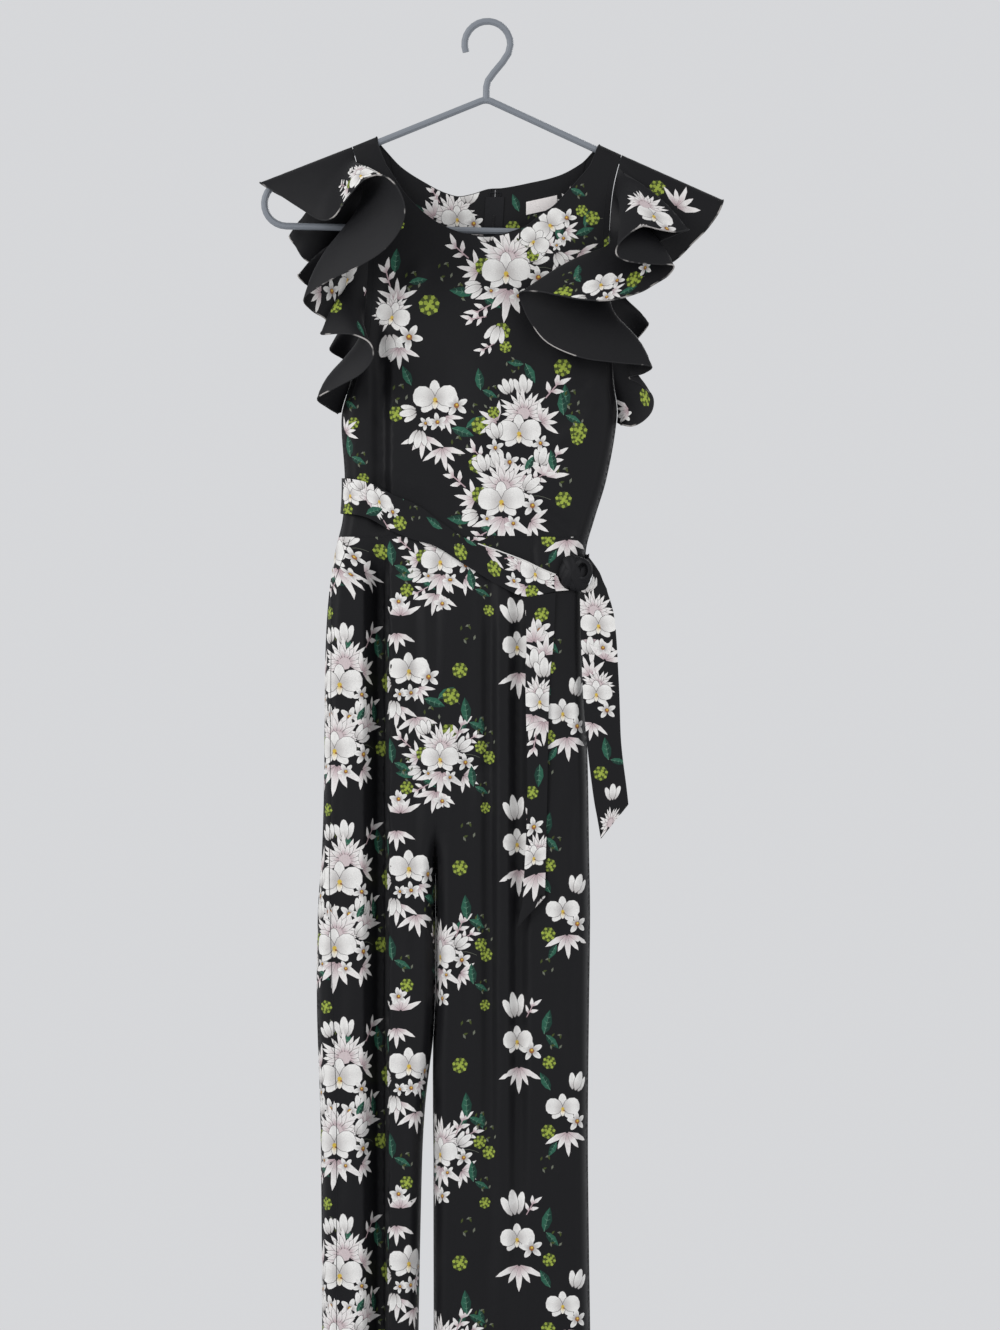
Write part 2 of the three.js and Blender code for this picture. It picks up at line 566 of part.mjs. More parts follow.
// Ruffles: straight rulings from the armhole to the free edge, bowed up and out
const RUFFLE_SHARES = [0, 0.04, 0.3, 0.62, 1];
const RUFFLE_GAP = 0.6;

// The sewn edge follows the cut edge of the bodice panel, just outside it
function armholePoint(hand, seam) {
  const grid = seam < 0 ? backGrids[hand] : frontGrid;
  const edge = grid.map((line) => line[hand < 0 ? 0 : line.length - 1]);
  const underarm = hand < 0 ? UNDERARM_LEFT : UNDERARM_RIGHT;
  const drop = mix(-edge[0].z, underarm + 1, Math.abs(seam));
  let i = 0;
  while (i < edge.length - 2 && -edge[i + 1].z < drop) i += 1;
  const t = (-edge[i].z - drop) / (edge[i + 1].z - edge[i].z);
  const point = edge[i].clone().lerp(edge[i + 1], t);
  point.x += hand * RUFFLE_GAP;
  if (seam === 0) point.y = 0;
  return point;
}

function ruffleGrid(hand, table) {
  return table.map((row) => {
    const base = armholePoint(hand, row.seam);
    const edge = new THREE.Vector3(row.x, -row.front, -row.drop);
    return RUFFLE_SHARES.map((r) => {
      if (r === RUFFLE_SHARES[1]) return base.clone().add(new THREE.Vector3(hand * 2.5, -Math.sign(row.front) * 1, 0));
      const bow = 4 * r * (1 - r) * row.out;
      const point = base.clone().lerp(edge, r);
      return point.add(new THREE.Vector3(hand * bow * 0.6, -Math.sign(row.front) * bow * 0.3, bow * 0.8));
    });
  });
}

const ruffleEnds = { left: 'x' };
addPiece('ruffle_left', wall(ruffleGrid(-1, LEFT_RUFFLE), RUFFLE_CLOTH / 2, -RUFFLE_CLOTH / 2, ruffleEnds), CLOTH_LOOK);
addPiece('ruffle_right', wall(ruffleGrid(1, RIGHT_RUFFLE), RUFFLE_CLOTH / 2, -RUFFLE_CLOTH / 2, ruffleEnds), CLOTH_LOOK);

// Belt: strips laid on the garment's own surface, moved out
const BELT_OFF = 3;
const BELT_HALF = 0.5;

function beltGrid(side, table, shares) {
  return shares.map((across) => [0, 0.25, 0.5, 0.75, 1].map((v) => {
    const drop = mix(column(table, 'across', 'upper', across), column(table, 'across', 'lower', across), v);
    const x = acrossX(across, drop);
    const ends = Math.min(across, 1 - across);
    const out = BELT_OFF * (1 - smooth(ends / 0.05));
    const y = surfaceY(side, x, drop, false) + side * BELT_OFF * smooth(ends / 0.02);
    const clear = side < 0 ? Math.min(y, -SEAM / 2) : Math.max(y, SEAM / 2);
    return new THREE.Vector3(x + (across < 0.5 ? -out : out), clear, -drop);
  }));
}

// The knot: a rounded lump over the right end of the belt
const KNOT = { x: 84, drop: 533, halfWide: 16, halfTall: 17, halfDeep: 9, back: 1.5 };
const KNOT_PLANE = surfaceY(-1, KNOT.x - 10, KNOT.drop, false) - BELT_OFF;

// The front strip ends against the knot's rounded outline
const BELT_SHARES = [0, 0.004, 0.015, 0.03, 0.055, 0.1, 0.2, 0.3, 0.4, 0.52, 0.66, 0.76, 0.83, 0.9];
const beltFront = beltGrid(-1, BELT_FRONT, BELT_SHARES);
for (const point of beltFront[beltFront.length - 1]) {
  const high = Math.min(1, Math.abs(-point.z - KNOT.drop) / KNOT.halfTall);
  point.x = KNOT.x - KNOT.halfWide * Math.sqrt(1 - high * high) - SEAM - 0.5;
  point.y = KNOT_PLANE;
}
addPiece('belt_front', wall(beltFront, BELT_HALF, -BELT_HALF, { top: 'y' }), CLOTH_LOOK);

// The back strip comes round the right side to the back of the knot
const BELT_BACK_SHARES = [0, 0.004, 0.015, 0.03, 0.055, 0.15, 0.3, 0.5, 0.7, 0.85, 0.945, 0.97, 0.985, 0.996, 1];
const beltBack = beltGrid(1, BELT_BACK, BELT_BACK_SHARES);
for (const y of [-9, -21, KNOT_PLANE + KNOT.back]) {
  beltBack.push(beltBack[BELT_BACK_SHARES.length - 1].map((p) => new THREE.Vector3(p.x, y, p.z)));
}
addPiece('belt_back', wall(beltBack, BELT_HALF, -BELT_HALF, { top: 'y', bottom: 'y' }), CLOTH_LOOK);

function tailGrid(table) {
  return table.map((row) => [0, 0.5, 1].map((v) => {
    const x = mix(row.left, row.right, v);
    const drop = row.drop - row.rise * v;
    const over = Math.min(x, rightEdge(drop) - SIDE_ROUND);
    return new THREE.Vector3(x, surfaceY(-1, over, drop, false) - TAIL_OFF, -drop);
  }));
}
addPiece('belt_tail_outer', wall(tailGrid(OUTER_TAIL), BELT_HALF, -BELT_HALF), CLOTH_LOOK);
addPiece('belt_tail_inner', wall(tailGrid(INNER_TAIL), BELT_HALF, -BELT_HALF), CLOTH_LOOK);

function knotGeometry() {
  const geometry = new THREE.SphereGeometry(1, 16, 10);
  geometry.deleteAttribute('normal');
  geometry.deleteAttribute('uv');
  const merged = mergeVertices(geometry, 1e-3);
  const position = merged.getAttribute('position');
  for (let k = 0; k < position.count; k += 1) {
    const p = new THREE.Vector3().fromBufferAttribute(position, k);
    const slant = p.x * 0.7 - p.z * 0.7;
    const groove = 1 - 0.3 * Math.exp(-((slant / 0.22) ** 2)) * Math.max(0, -p.y);
    position.setXYZ(
      k,
      KNOT.x + p.x * KNOT.halfWide,
      KNOT_PLANE + p.y * (p.y > 0 ? KNOT.back : KNOT.halfDeep * groove),
      -KNOT.drop + p.z * KNOT.halfTall,
    );
  }
  return merged;
}
addPiece('belt_knot', knotGeometry(), CLOTH_LOOK);

// Hanger: one round tube bent into a triangle with a hook
const wasm = await Module();
wasm.setup();

function toSolid(geometry) {
  const bare = geometry.clone();
  bare.deleteAttribute('normal');
  bare.deleteAttribute('uv');
  const merged = mergeVertices(bare, 1e-3);
  return new wasm.Manifold(new wasm.Mesh({
    numProp: 3,
    vertProperties: new Float32Array(merged.getAttribute('position').array),
    triVerts: new Uint32Array(merged.getIndex().array),
  }));
}

function fromSolid(solid) {
  const mesh = solid.getMesh();
  const geometry = new THREE.BufferGeometry();
  geometry.setAttribute('position', new THREE.BufferAttribute(new Float32Array(mesh.vertProperties), 3));
  geometry.setIndex(new THREE.BufferAttribute(new Uint32Array(mesh.triVerts), 1));
  return geometry;
}

// A round tube along points of the XZ plane, closed on itself or with flat ends
function flatTube(path, radius, sides, closed) {
  const count = path.length;
  const positions = [];
  path.forEach((point, i) => {
    const before = path[closed ? (i - 1 + count) % count : Math.max(0, i - 1)];
    const after = path[closed ? (i + 1) % count : Math.min(count - 1, i + 1)];
    const along = new THREE.Vector2().subVectors(after, before).normalize();
    for (let k = 0; k < sides; k += 1) {
      const turn = (2 * Math.PI * k) / sides;
      const across = radius * Math.cos(turn);
      positions.push(point.x - along.y * across, radius * Math.sin(turn), point.y + along.x * across);
    }
  });
  const faces = [];
  const rings = closed ? count : count - 1;
  for (let i = 0; i < rings; i += 1) {
    const next = (i + 1) % count;
    for (let k = 0; k < sides; k += 1) {
      const turn = (k + 1) % sides;
      faces.push(i * sides + k, next * sides + k, next * sides + turn);
      faces.push(i * sides + k, next * sides + turn, i * sides + turn);
    }
  }
  if (!closed) {
    for (let k = 1; k < sides - 1; k += 1) {
      faces.push(0, k, k + 1);
      const end = (count - 1) * sides;
      faces.push(end, end + k + 1, end + k);
    }
  }
  const geometry = new THREE.BufferGeometry();
  geometry.setAttribute('position', new THREE.Float32BufferAttribute(positions, 3));
  geometry.setIndex(faces);
  if (signedVolume(geometry) < 0) {
    const index = geometry.getIndex().array;
    for (let k = 0; k < index.length; k += 3) [index[k + 1], index[k + 2]] = [index[k + 2], index[k + 1]];
  }
  return geometry;
}

function arcPoints(cx, cz, radius, from, to, steps) {
  const points = [];
  for (let i = 0; i <= steps; i += 1) {
    const turn = mix(from, to, i / steps);
    points.push(new THREE.Vector2(cx + radius * Math.cos(turn), cz + radius * Math.sin(turn)));
  }
  return points;
}

function hangerGeometry() {
  const slope = Math.atan(ARM_SLOPE);
  const bendX = HANGER_HALF - HANGER_BEND;
  const bendZ = -HANGER_BAR + HANGER_BEND;
  const right = arcPoints(bendX, bendZ, HANGER_BEND, Math.PI / 2 - slope, -Math.PI / 2, 12);
  const left = arcPoints(-bendX, bendZ, HANGER_BEND, -Math.PI / 2, -1.5 * Math.PI + slope, 12);
  const topRadius = 14;
  const topZ = -HANGER_APEX - topRadius / Math.cos(slope);
  const top = arcPoints(0, topZ, topRadius, Math.PI / 2 + slope, Math.PI / 2 - slope, 4);
  const frame = flatTube([...top, ...right, ...left], TUBE_RADIUS, 10, true);
  const hookZ = TUBE_RADIUS - HOOK_RADIUS;
  const stem = [[0, -HANGER_APEX - 3], [0, -60], [1.5, -54], [7, -46], [15, -36], [20.5, -27]];
  const neck = stem.map(([x, z]) => new THREE.Vector2(x, z));
  const crook = arcPoints(0, hookZ, HOOK_RADIUS, 0, 1.12 * Math.PI, 14);
  const hook = flatTube([...neck, ...crook], TUBE_RADIUS, 10, false);
  return fromSolid(toSolid(frame).add(toSolid(hook)));
}
const hanger = addPiece('hanger', hangerGeometry(), { color: 0x74787f, roughness: 0.45, metalness: 0 });
hanger.rotation.y = Math.atan(HANGER_TILT);

// Back neck: blank white label, zip tape inside, slider with its pull outside, hook and eye
const LABEL = { left: 37, right: 67, topLeft: 171, topRight: 164.5, tall: 12.5 };

function insideBack(x, drop, gap) {
  return surfaceY(1, x, drop, true) - CLOTH - gap;
}

function labelGrid() {
  return [0, 0.5, 1].map((v) => [0, 0.33, 0.67, 1].map((u) => {
    const x = mix(LABEL.left, LABEL.right, u);
    const drop = mix(LABEL.topLeft, LABEL.topRight, u) + v * LABEL.tall;
    return new THREE.Vector3(x, insideBack(x, drop, 0.8), -drop);
  }));
}
addPiece('neck_label', wall(labelGrid(), 0.3, -0.3, {}), { color: 0xe8e4e2, roughness: 0.7, metalness: 0 });

const ZIP = { top: 166, bottom: 640, halfWide: 9 };

function zipGrid() {
  const rows = 14;
  const grid = [];
  for (let i = 0; i <= rows; i += 1) {
    const drop = mix(ZIP.top, ZIP.bottom, i / rows);
    grid.push([-1, 0, 1].map((v) => {
      const x = centreLine(drop) + v * ZIP.halfWide;
      return new THREE.Vector3(x, insideBack(x, drop, 1), -drop);
    }));
  }
  return grid;
}
addPiece('zip_tape', wall(zipGrid(), 0.5, -0.5, {}), { color: 0x141416, roughness: 0.8, metalness: 0 });

// Slider on the outside of the back, with a bridge that the pull tab hangs in
const METAL_LOOK = { color: 0x2a2a2e, roughness: 0.4, metalness: 0.6 };
const SLIDER = { drop: 176, halfWide: 3.6, thick: 2.4, halfTall: 5.5, gap: 0.35 };
const BRIDGE = { halfWide: 1.1, high: 4.3, low: -3.5, tall: 4.5, wall: 1.2, opening: 2.3 };
const PULL = { barRadius: 0.75, halfWide: 3, arm: 1.3, thick: 1, windowEnd: 7.9, length: 18 };
const sliderX = centreLine(SLIDER.drop);
const sliderY = surfaceY(1, sliderX, SLIDER.drop + SLIDER.halfTall, true) + SLIDER.gap;
const pinY = sliderY + SLIDER.thick + 1.15;
const pinZ = -SLIDER.drop + 2.4;

function boxAt(x0, x1, y0, y1, z0, z1) {
  const geometry = new THREE.BoxGeometry(x1 - x0, y1 - y0, z1 - z0);
  return geometry.translate((x0 + x1) / 2, (y0 + y1) / 2, (z0 + z1) / 2);
}

function sliderGeometry() {
  const face = sliderY + SLIDER.thick;
  const top = face + BRIDGE.opening;
  const z = -SLIDER.drop;
  const wide = [sliderX - BRIDGE.halfWide, sliderX + BRIDGE.halfWide];
  const parts = [
    boxAt(...wide, face - 0.5, top + BRIDGE.wall, z + BRIDGE.tall - BRIDGE.wall, z + BRIDGE.tall),
    boxAt(...wide, face - 0.5, top + BRIDGE.wall, z + BRIDGE.low, z + BRIDGE.low + BRIDGE.wall),
    boxAt(...wide, top, top + BRIDGE.wall, z + BRIDGE.low, z + BRIDGE.tall),
  ];
  const { halfWide, halfTall } = SLIDER;
  let solid = toSolid(boxAt(sliderX - halfWide, sliderX + halfWide, sliderY, face, z - halfTall, z + halfTall));
  for (const piece of parts) solid = solid.add(toSolid(piece));
  return fromSolid(solid);
}
addPiece('zip_slider', sliderGeometry(), METAL_LOOK);

function pullGeometry() {
  const bar = new THREE.CylinderGeometry(PULL.barRadius, PULL.barRadius, PULL.halfWide * 2, 12);
  bar.rotateZ(Math.PI / 2).translate(sliderX, pinY, pinZ);
  const outline = new THREE.Shape();
  outline.moveTo(-PULL.halfWide, 0);
  outline.lineTo(-PULL.halfWide, -PULL.windowEnd - 2);
  outline.lineTo(-2.2, -PULL.length + 2);
  outline.lineTo(-1, -PULL.length);
  outline.lineTo(1, -PULL.length);
  outline.lineTo(2.2, -PULL.length + 2);
  outline.lineTo(PULL.halfWide, -PULL.windowEnd - 2);
  outline.lineTo(PULL.halfWide, 0);
  outline.closePath();
  const inside = PULL.halfWide - PULL.arm;
  const gap = new THREE.Path();
  gap.moveTo(-inside, -PULL.barRadius);
  gap.lineTo(inside, -PULL.barRadius);
  gap.lineTo(inside, -PULL.windowEnd);
  gap.lineTo(-inside, -PULL.windowEnd);
  gap.closePath();
  outline.holes.push(gap);
  const plate = new THREE.ExtrudeGeometry(outline, { depth: PULL.thick, bevelEnabled: false });
  plate.rotateX(Math.PI / 2).translate(sliderX, pinY + PULL.thick / 2, pinZ);
  return fromSolid(toSolid(plate).add(toSolid(bar)));
}
addPiece('zip_pull', pullGeometry(), METAL_LOOK);

// Hook and eye at the top of the back opening, lying flat on the inside
const WIRE_RADIUS = 0.5;
const CLASP_DROP = 163.5;

function claspGeometry(hand) {
  const y = insideBack(sliderX, CLASP_DROP, WIRE_RADIUS + 0.35);
  const path = hand < 0
    ? [...arcPoints(-3.4, 0, 1.6, -0.6 * Math.PI, -1.4 * Math.PI, 6), new THREE.Vector2(1.4, 1.2)]
    : arcPoints(4.6, 0, 2, -0.8 * Math.PI, 0.8 * Math.PI, 8);
  const geometry = flatTube(path, WIRE_RADIUS, 6, false);
  return geometry.translate(sliderX, y, -CLASP_DROP);
}
addPiece('neck_hook', claspGeometry(-1), METAL_LOOK);
addPiece('neck_eye', claspGeometry(1), METAL_LOOK);

export default jumpsuit;
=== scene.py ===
import math

import bpy
import numpy as np
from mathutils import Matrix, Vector
from mathutils.geometry import delaunay_2d_cdt


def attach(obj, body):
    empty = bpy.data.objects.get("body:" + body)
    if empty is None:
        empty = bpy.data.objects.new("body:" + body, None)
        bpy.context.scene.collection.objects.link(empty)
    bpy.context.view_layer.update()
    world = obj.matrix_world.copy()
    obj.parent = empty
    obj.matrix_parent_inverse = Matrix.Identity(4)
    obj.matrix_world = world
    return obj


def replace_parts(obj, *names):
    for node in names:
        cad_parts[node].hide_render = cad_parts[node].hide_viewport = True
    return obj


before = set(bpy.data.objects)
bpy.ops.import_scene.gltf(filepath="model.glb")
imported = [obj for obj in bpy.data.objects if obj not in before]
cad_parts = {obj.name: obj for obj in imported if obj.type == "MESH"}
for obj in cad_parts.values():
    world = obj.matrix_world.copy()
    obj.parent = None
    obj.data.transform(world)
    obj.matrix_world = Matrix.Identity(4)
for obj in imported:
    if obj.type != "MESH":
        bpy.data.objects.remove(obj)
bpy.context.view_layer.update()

# A drop is a distance below the origin, so z = -drop. Tables are in millimetres, objects in metres.
MM = 0.001
CLOTH = 0.8
SEAM = 0.3
LEGS_APART = 0.03
WAIST = 497.0
CROTCH = 770.0
HEM = 1440.0
NECK_POINT = 0.09
UNDERARM_LEFT = 375.0
UNDERARM_RIGHT = 385.0
ARM_CLOSE = 75.0
SIDE_ROUND = 13.0
FRONT_DEPTH = 25.0
BACK_DEPTH = 19.0
LEG_FRONT_DEPTH = 34.0
LEG_BACK_DEPTH = 24.0
WRAP = 5.5
SWELL_OVER = 320.0
CREASE = 1.5
TUBE_RADIUS = 3.35
HANGER_APEX = 72.0
ARM_SLOPE = 0.432
HANGER_TILT = 0.0244
SHOULDER_LEVEL = 120.0
ARM_CLEAR = 2.7
RUFFLE_GAP = 0.6
BELT_OFF = 3.0
TAIL_OFF = 4.0
VIEW_CENTRE = (11.6, -621.0)
VIEW_TALL = 1290.0
CAMERA_AWAY = 4000.0

# Columns: drop, left edge, right edge, centre line
OUTLINE = np.array([
    (116, -132, 132, 8), (160, -121, 121, 7), (210, -116, 117, 4), (260, -117, 117, 1),
    (310, -122, 118, -2), (350, -134, 122, -8), (380, -142, 125, -12), (440, -139, 115, -21),
    (480, -141, 103, -29), (510, -148, 95, -34), (560, -155, 94, -38), (620, -158, 94, -42),
    (730, -159, 97, -49), (800, -161, 98, -51), (860, -165, 99, -51), (950, -166, 98, -51.5),
    (1043, -163, 97, -57), (1106, -162, 97, -58.5), (1260, -161, 99, -60), (HEM, -163, 102, -61),
], dtype=float)
# Columns: drop, half of the gap between the legs
LEG_GAP = np.array([
    (116, LEGS_APART), (980, LEGS_APART), (1010, 1.5), (1043, 3.5), (1106, 5.5), (HEM, 9),
], dtype=float)
# Columns: share of the width across, drop of the neck's cut edge
FRONT_NECK = np.array([
    (0.09, 111), (0.095, 116), (0.108, 136), (0.18, 170), (0.315, 197), (0.487, 207),
    (0.646, 198), (0.724, 184), (0.777, 175), (0.892, 138), (0.905, 121), (0.91, 116),
], dtype=float)
BACK_NECK = np.array([
    (0.09, 110), (0.11, 119), (0.165, 138), (0.27, 156), (0.33, 163), (0.38, 166), (0.44, 163.5),
    (0.5, 159), (0.56, 158), (0.65, 154), (0.78, 146), (0.86, 134), (0.89, 124), (0.91, 116),
], dtype=float)
# Columns: x, flat bottom, left flank, right flank, depth, shelf, from, full, fade, to
FRONT_FOLDS = [
    (-104, 3, 12, 9, 9, 3, 300, 350, 470, 497),
    (-106, 5, 16, 7, 30, 9, 497, 560, 1500, 1600),
    (1, 1, 11, 9, 6, 0, 505, 600, 900, 1250),
    (28, 2, 10, 12, 8, 0, 505, 600, 950, 1350),
    (-70, 1, 8, 14, 3, 0, 497, 560, 700, 1000),
]
BACK_FOLDS = [
    (-112, 3, 15, 12, 10, 3, 480, 620, 1500, 1600),
    (-76, 1, 10, 12, 4, 0, 497, 600, 900, 1300),
    (14, 2, 12, 12, 8, 0, 500, 600, 1100, 1450),
    (56, 2, 12, 12, 5, 0, 500, 600, 900, 1300),
]
# Soft creases. Columns: x and drop at both ends, half width, depth (minus stands out)
FRONT_CREASES = [
    (-96, 250, -108, 330, 7, 2.0), (-62, 236, -92, 300, 9, -1.6), (70, 300, 96, 330, 8, 1.8),
    (98, 345, 60, 372, 7, 1.5), (104, 372, 66, 408, 8, -1.4), (-112, 380, -60, 410, 8, 1.3),
    (-120, 420, -58, 452, 9, -1.2), (52, 470, 84, 494, 6, 1.4), (20, 478, 70, 492, 7, -1.0),
    (-20, 300, 14, 470, 20, -1.2), (48, 250, 40, 420, 18, 1.1), (-44, 330, -36, 480, 16, 1.0),
    (-46, 506, -54, 640, 5, 1.4), (-62, 520, -66, 900, 9, -1.4), (44, 503, 46, 590, 3, 1.8),
    (58, 520, 66, 900, 11, -1.6), (78, 560, 80, 1100, 9, 1.6), (-20, 560, -24, 1000, 12, 1.5),
    (-34, 640, -36, 1200, 8, -1.2), (-146, 700, -144, 1300, 6, 1.0), (14, 640, 15, 1300, 8, -1.4),
    (-90, 760, -82, 1380, 10, 1.2), (60, 1000, 54, 1420, 12, 1.6), (-130, 900, -128, 1420, 7, -1.0),
    (-50, 742, -84, 700, 8, 1.4), (-46, 744, 0, 716, 8, 1.4), (-2, 1060, 0, 1420, 10, 1.5),
]
BACK_CREASES = [
    (-70, 250, -96, 330, 9, 1.8), (74, 250, 98, 326, 9, 1.8), (-100, 360, -52, 390, 8, 1.4),
    (96, 352, 52, 384, 8, 1.4), (-30, 300, -44, 470, 16, -1.2), (40, 300, 46, 470, 16, -1.2),
    (-60, 470, -90, 495, 7, 1.4), (34, 470, 70, 494, 7, 1.4), (-60, 700, -96, 650, 9, 1.6),
    (-40, 702, 10, 650, 9, 1.6), (-134, 560, -138, 1200, 8, -1.4), (-90, 700, -94, 1400, 10, 1.4),
    (36, 640, 34, 1400, 9, -1.5), (76, 600, 80, 1300, 8, 1.6), (-20, 800, -24, 1400, 11, 1.4),
]
# Columns: place along the armhole (0 shoulder, 1 underarm, minus down the back), x, drop, front, bow
LEFT_RUFFLE = np.array([
    (-1.0, -146, 377, -5, 0), (-0.94, -151, 366, -12, 2), (-0.86, -136, 354, -30, 3),
    (-0.78, -126, 340, -38, 4), (-0.7, -138, 324, -34, 4), (-0.63, -154, 314, -20, 4),
    (-0.57, -146, 304, -28, 5), (-0.5, -126, 292, -42, 6), (-0.44, -124, 278, -46, 6),
    (-0.38, -146, 264, -36, 7), (-0.34, -174, 252, -20, 8), (-0.31, -185, 241, -13, 8),
    (-0.29, -166, 243, -24, 8), (-0.26, -138, 240, -42, 8), (-0.23, -126, 232, -50, 8),
    (-0.2, -140, 233, -42, 8), (-0.17, -164, 232, -26, 8), (-0.15, -179, 225, -20, 8),
    (-0.13, -187, 213, -20, 8), (-0.11, -193, 201, -24, 8), (-0.09, -166, 196, -40, 8),
    (-0.07, -138, 192, -52, 7), (-0.055, -134, 186, -50, 6), (-0.043, -150, 183, -36, 6),
    (-0.03, -178, 174, -22, 5), (-0.018, -204, 163, -12, 3), (-0.008, -219, 154.5, -5, 1),
    (0.0, -221, 153, 0, 0), (0.006, -217, 156, 5, 1), (0.012, -203, 165, 12, 3),
    (0.019, -181, 180, 21, 5), (0.027, -162, 192, 30, 6), (0.036, -148, 191, 42, 6),
    (0.045, -135, 175, 54, 5), (0.055, -118, 158, 66, 4), (0.07, -101, 155, 76, 4),
    (0.09, -87, 166, 83, 5), (0.115, -79, 186, 85, 7), (0.145, -83, 206, 83, 9),
    (0.175, -99, 226, 77, 11), (0.21, -124, 241, 67, 12), (0.25, -150, 252, 55, 13),
    (0.3, -176, 268, 41, 13), (0.36, -170, 279, 29, 10), (0.42, -156, 288, 24, 7),
    (0.46, -158, 297, 27, 7), (0.5, -160, 303, 36, 8), (0.55, -144, 303, 46, 8),
    (0.59, -128, 305, 54, 7), (0.63, -113, 313, 58, 6), (0.67, -110, 327, 58, 6),
    (0.71, -122, 342, 52, 7), (0.76, -145, 354, 42, 8), (0.82, -164, 364, 30, 8),
    (0.92, -155, 372, 16, 4), (1.0, -146, 377, 5, 0),
], dtype=float)
RIGHT_RUFFLE = np.array([
    (-1.0, 129, 388, -5, 0), (-0.93, 140, 376, -14, 2), (-0.85, 144, 358, -22, 3),
    (-0.77, 130, 338, -34, 4), (-0.69, 129, 318, -36, 4), (-0.61, 146, 302, -24, 5),
    (-0.55, 156, 288, -16, 6), (-0.48, 142, 284, -32, 6), (-0.42, 127, 276, -46, 6),
    (-0.36, 130, 262, -46, 7), (-0.3, 152, 254, -34, 8), (-0.25, 168, 244, -26, 8),
    (-0.2, 146, 238, -46, 8), (-0.16, 126, 226, -60, 8), (-0.12, 130, 212, -62, 8),
    (-0.085, 158, 214, -46, 8), (-0.055, 192, 208, -28, 8), (-0.035, 213, 194, -17, 6),
    (-0.02, 223, 181, -10, 4), (-0.008, 227, 172, -5, 1), (0.0, 228, 170, 0, 0),
    (0.006, 227, 174, 5, 1), (0.012, 222, 185, 8, 3), (0.018, 211, 200, 11, 5),
    (0.024, 197, 214, 13, 6), (0.03, 183, 228, 15, 6), (0.036, 171, 234, 19, 6),
    (0.042, 157, 228, 25, 6), (0.048, 161, 216, 31, 6), (0.055, 181, 207, 37, 6),
    (0.062, 193, 203, 42, 6), (0.07, 180, 206, 48, 6), (0.079, 163, 204, 54, 6),
    (0.09, 147, 202, 61, 5), (0.102, 132, 212, 67, 5), (0.115, 123, 223, 71, 6),
    (0.13, 124, 232, 73, 8), (0.15, 138, 237, 70, 9), (0.185, 162, 238, 60, 10),
    (0.22, 178, 238, 48, 10), (0.24, 173, 247, 43, 10), (0.26, 159, 256, 45, 11),
    (0.28, 145, 264, 50, 12), (0.3, 118, 272, 58, 13), (0.32, 91, 272, 62, 14),
    (0.34, 68, 268, 62, 16), (0.36, 49, 264, 58, 18), (0.38, 31, 264, 50, 18),
    (0.41, 33, 275, 42, 13), (0.45, 42, 293, 40, 9), (0.49, 58, 312, 43, 8),
    (0.53, 89, 326, 49, 8), (0.57, 123, 331, 50, 8), (0.62, 156, 334, 42, 8),
    (0.66, 150, 340, 32, 6), (0.7, 136, 344, 26, 5), (0.75, 147, 350, 26, 5),
    (0.81, 158, 362, 29, 6), (0.87, 158, 375, 29, 6), (0.93, 150, 385, 24, 5),
    (0.97, 139, 390, 15, 3), (1.0, 129, 388, 5, 0),
], dtype=float)
# Columns: share of the width across, drops of the upper and lower edges
BELT_FRONT = np.array([
    (0.0, 440, 474), (0.1, 446, 479), (0.2, 458, 491), (0.3, 468, 500), (0.4, 484, 507),
    (0.52, 500, 524), (0.66, 512, 544), (0.76, 521, 555), (0.83, 529, 553), (0.9, 536, 549),
], dtype=float)
BELT_BACK = np.array([
    (0.0, 440, 474), (0.25, 452, 486), (0.5, 470, 504), (0.75, 492, 526), (1.0, 514, 546),
], dtype=float)
# Columns: drop at the left edge, how much higher the right edge is, left edge, right edge
OUTER_TAIL = np.array([
    (519, 2, 94.5, 97), (526, 1, 99.2, 103), (533, 0, 101, 108), (541, 0, 99.2, 111),
    (547, 0, 94.6, 114), (551, 0, 89, 115), (579, 0, 89, 122), (642, 0, 91, 126),
    (695, 0, 95, 128), (745, 8, 101, 133), (768, 18, 105, 134.5), (788, 33, 108.5, 135),
], dtype=float)
INNER_TAIL = np.array([
    (556, 4.6, 36, 65), (600, 0, 37, 63), (642, 0, 36, 59), (747, 0, 38, 57),
    (842, 8, 33.5, 55), (858, 18, 31, 55), (873, 29, 28, 55),
], dtype=float)
KNOT = {"x": 84.0, "drop": 533.0, "half_wide": 16.0, "half_tall": 17.0, "half_deep": 9.0}


def smooth(t):
    c = np.clip(t, 0, 1)
    return c * c * (3 - 2 * c)


def mix(a, b, t):
    return a + (b - a) * t


def column(table, name, at):
    """One column of a table at a key in its first column, on a smooth curve through the rows."""
    keys = table[:, 0]
    values = table[:, name]
    at = np.clip(np.asarray(at, dtype=float), keys[0], keys[-1])
    i = np.clip(np.searchsorted(keys, at, side="right") - 1, 0, len(keys) - 2)
    before = np.maximum(np.arange(len(keys)) - 1, 0)
    after = np.minimum(np.arange(len(keys)) + 1, len(keys) - 1)
    slope = (values[after] - values[before]) / (keys[after] - keys[before])
    step = keys[i + 1] - keys[i]
    t = (at - keys[i]) / step
    swing = t * (1 - t) * (1 - t) * step * slope[i] + t * t * (t - 1) * step * slope[i + 1]
    return mix(values[i], values[i + 1], t * t * (3 - 2 * t)) + swing


def left_edge(drop):
    return column(OUTLINE, 1, drop)


def right_edge(drop):
    return column(OUTLINE, 2, drop)


def centre_line(drop):
    return column(OUTLINE, 3, drop)


def leg_gap(drop):
    return np.maximum(LEGS_APART, column(LEG_GAP, 1, drop))


def shoulder_drop(x):
    from_stem = np.abs(x + HANGER_TILT * SHOULDER_LEVEL)
    return HANGER_APEX - TUBE_RADIUS - ARM_CLEAR + ARM_SLOPE * from_stem + HANGER_TILT * x


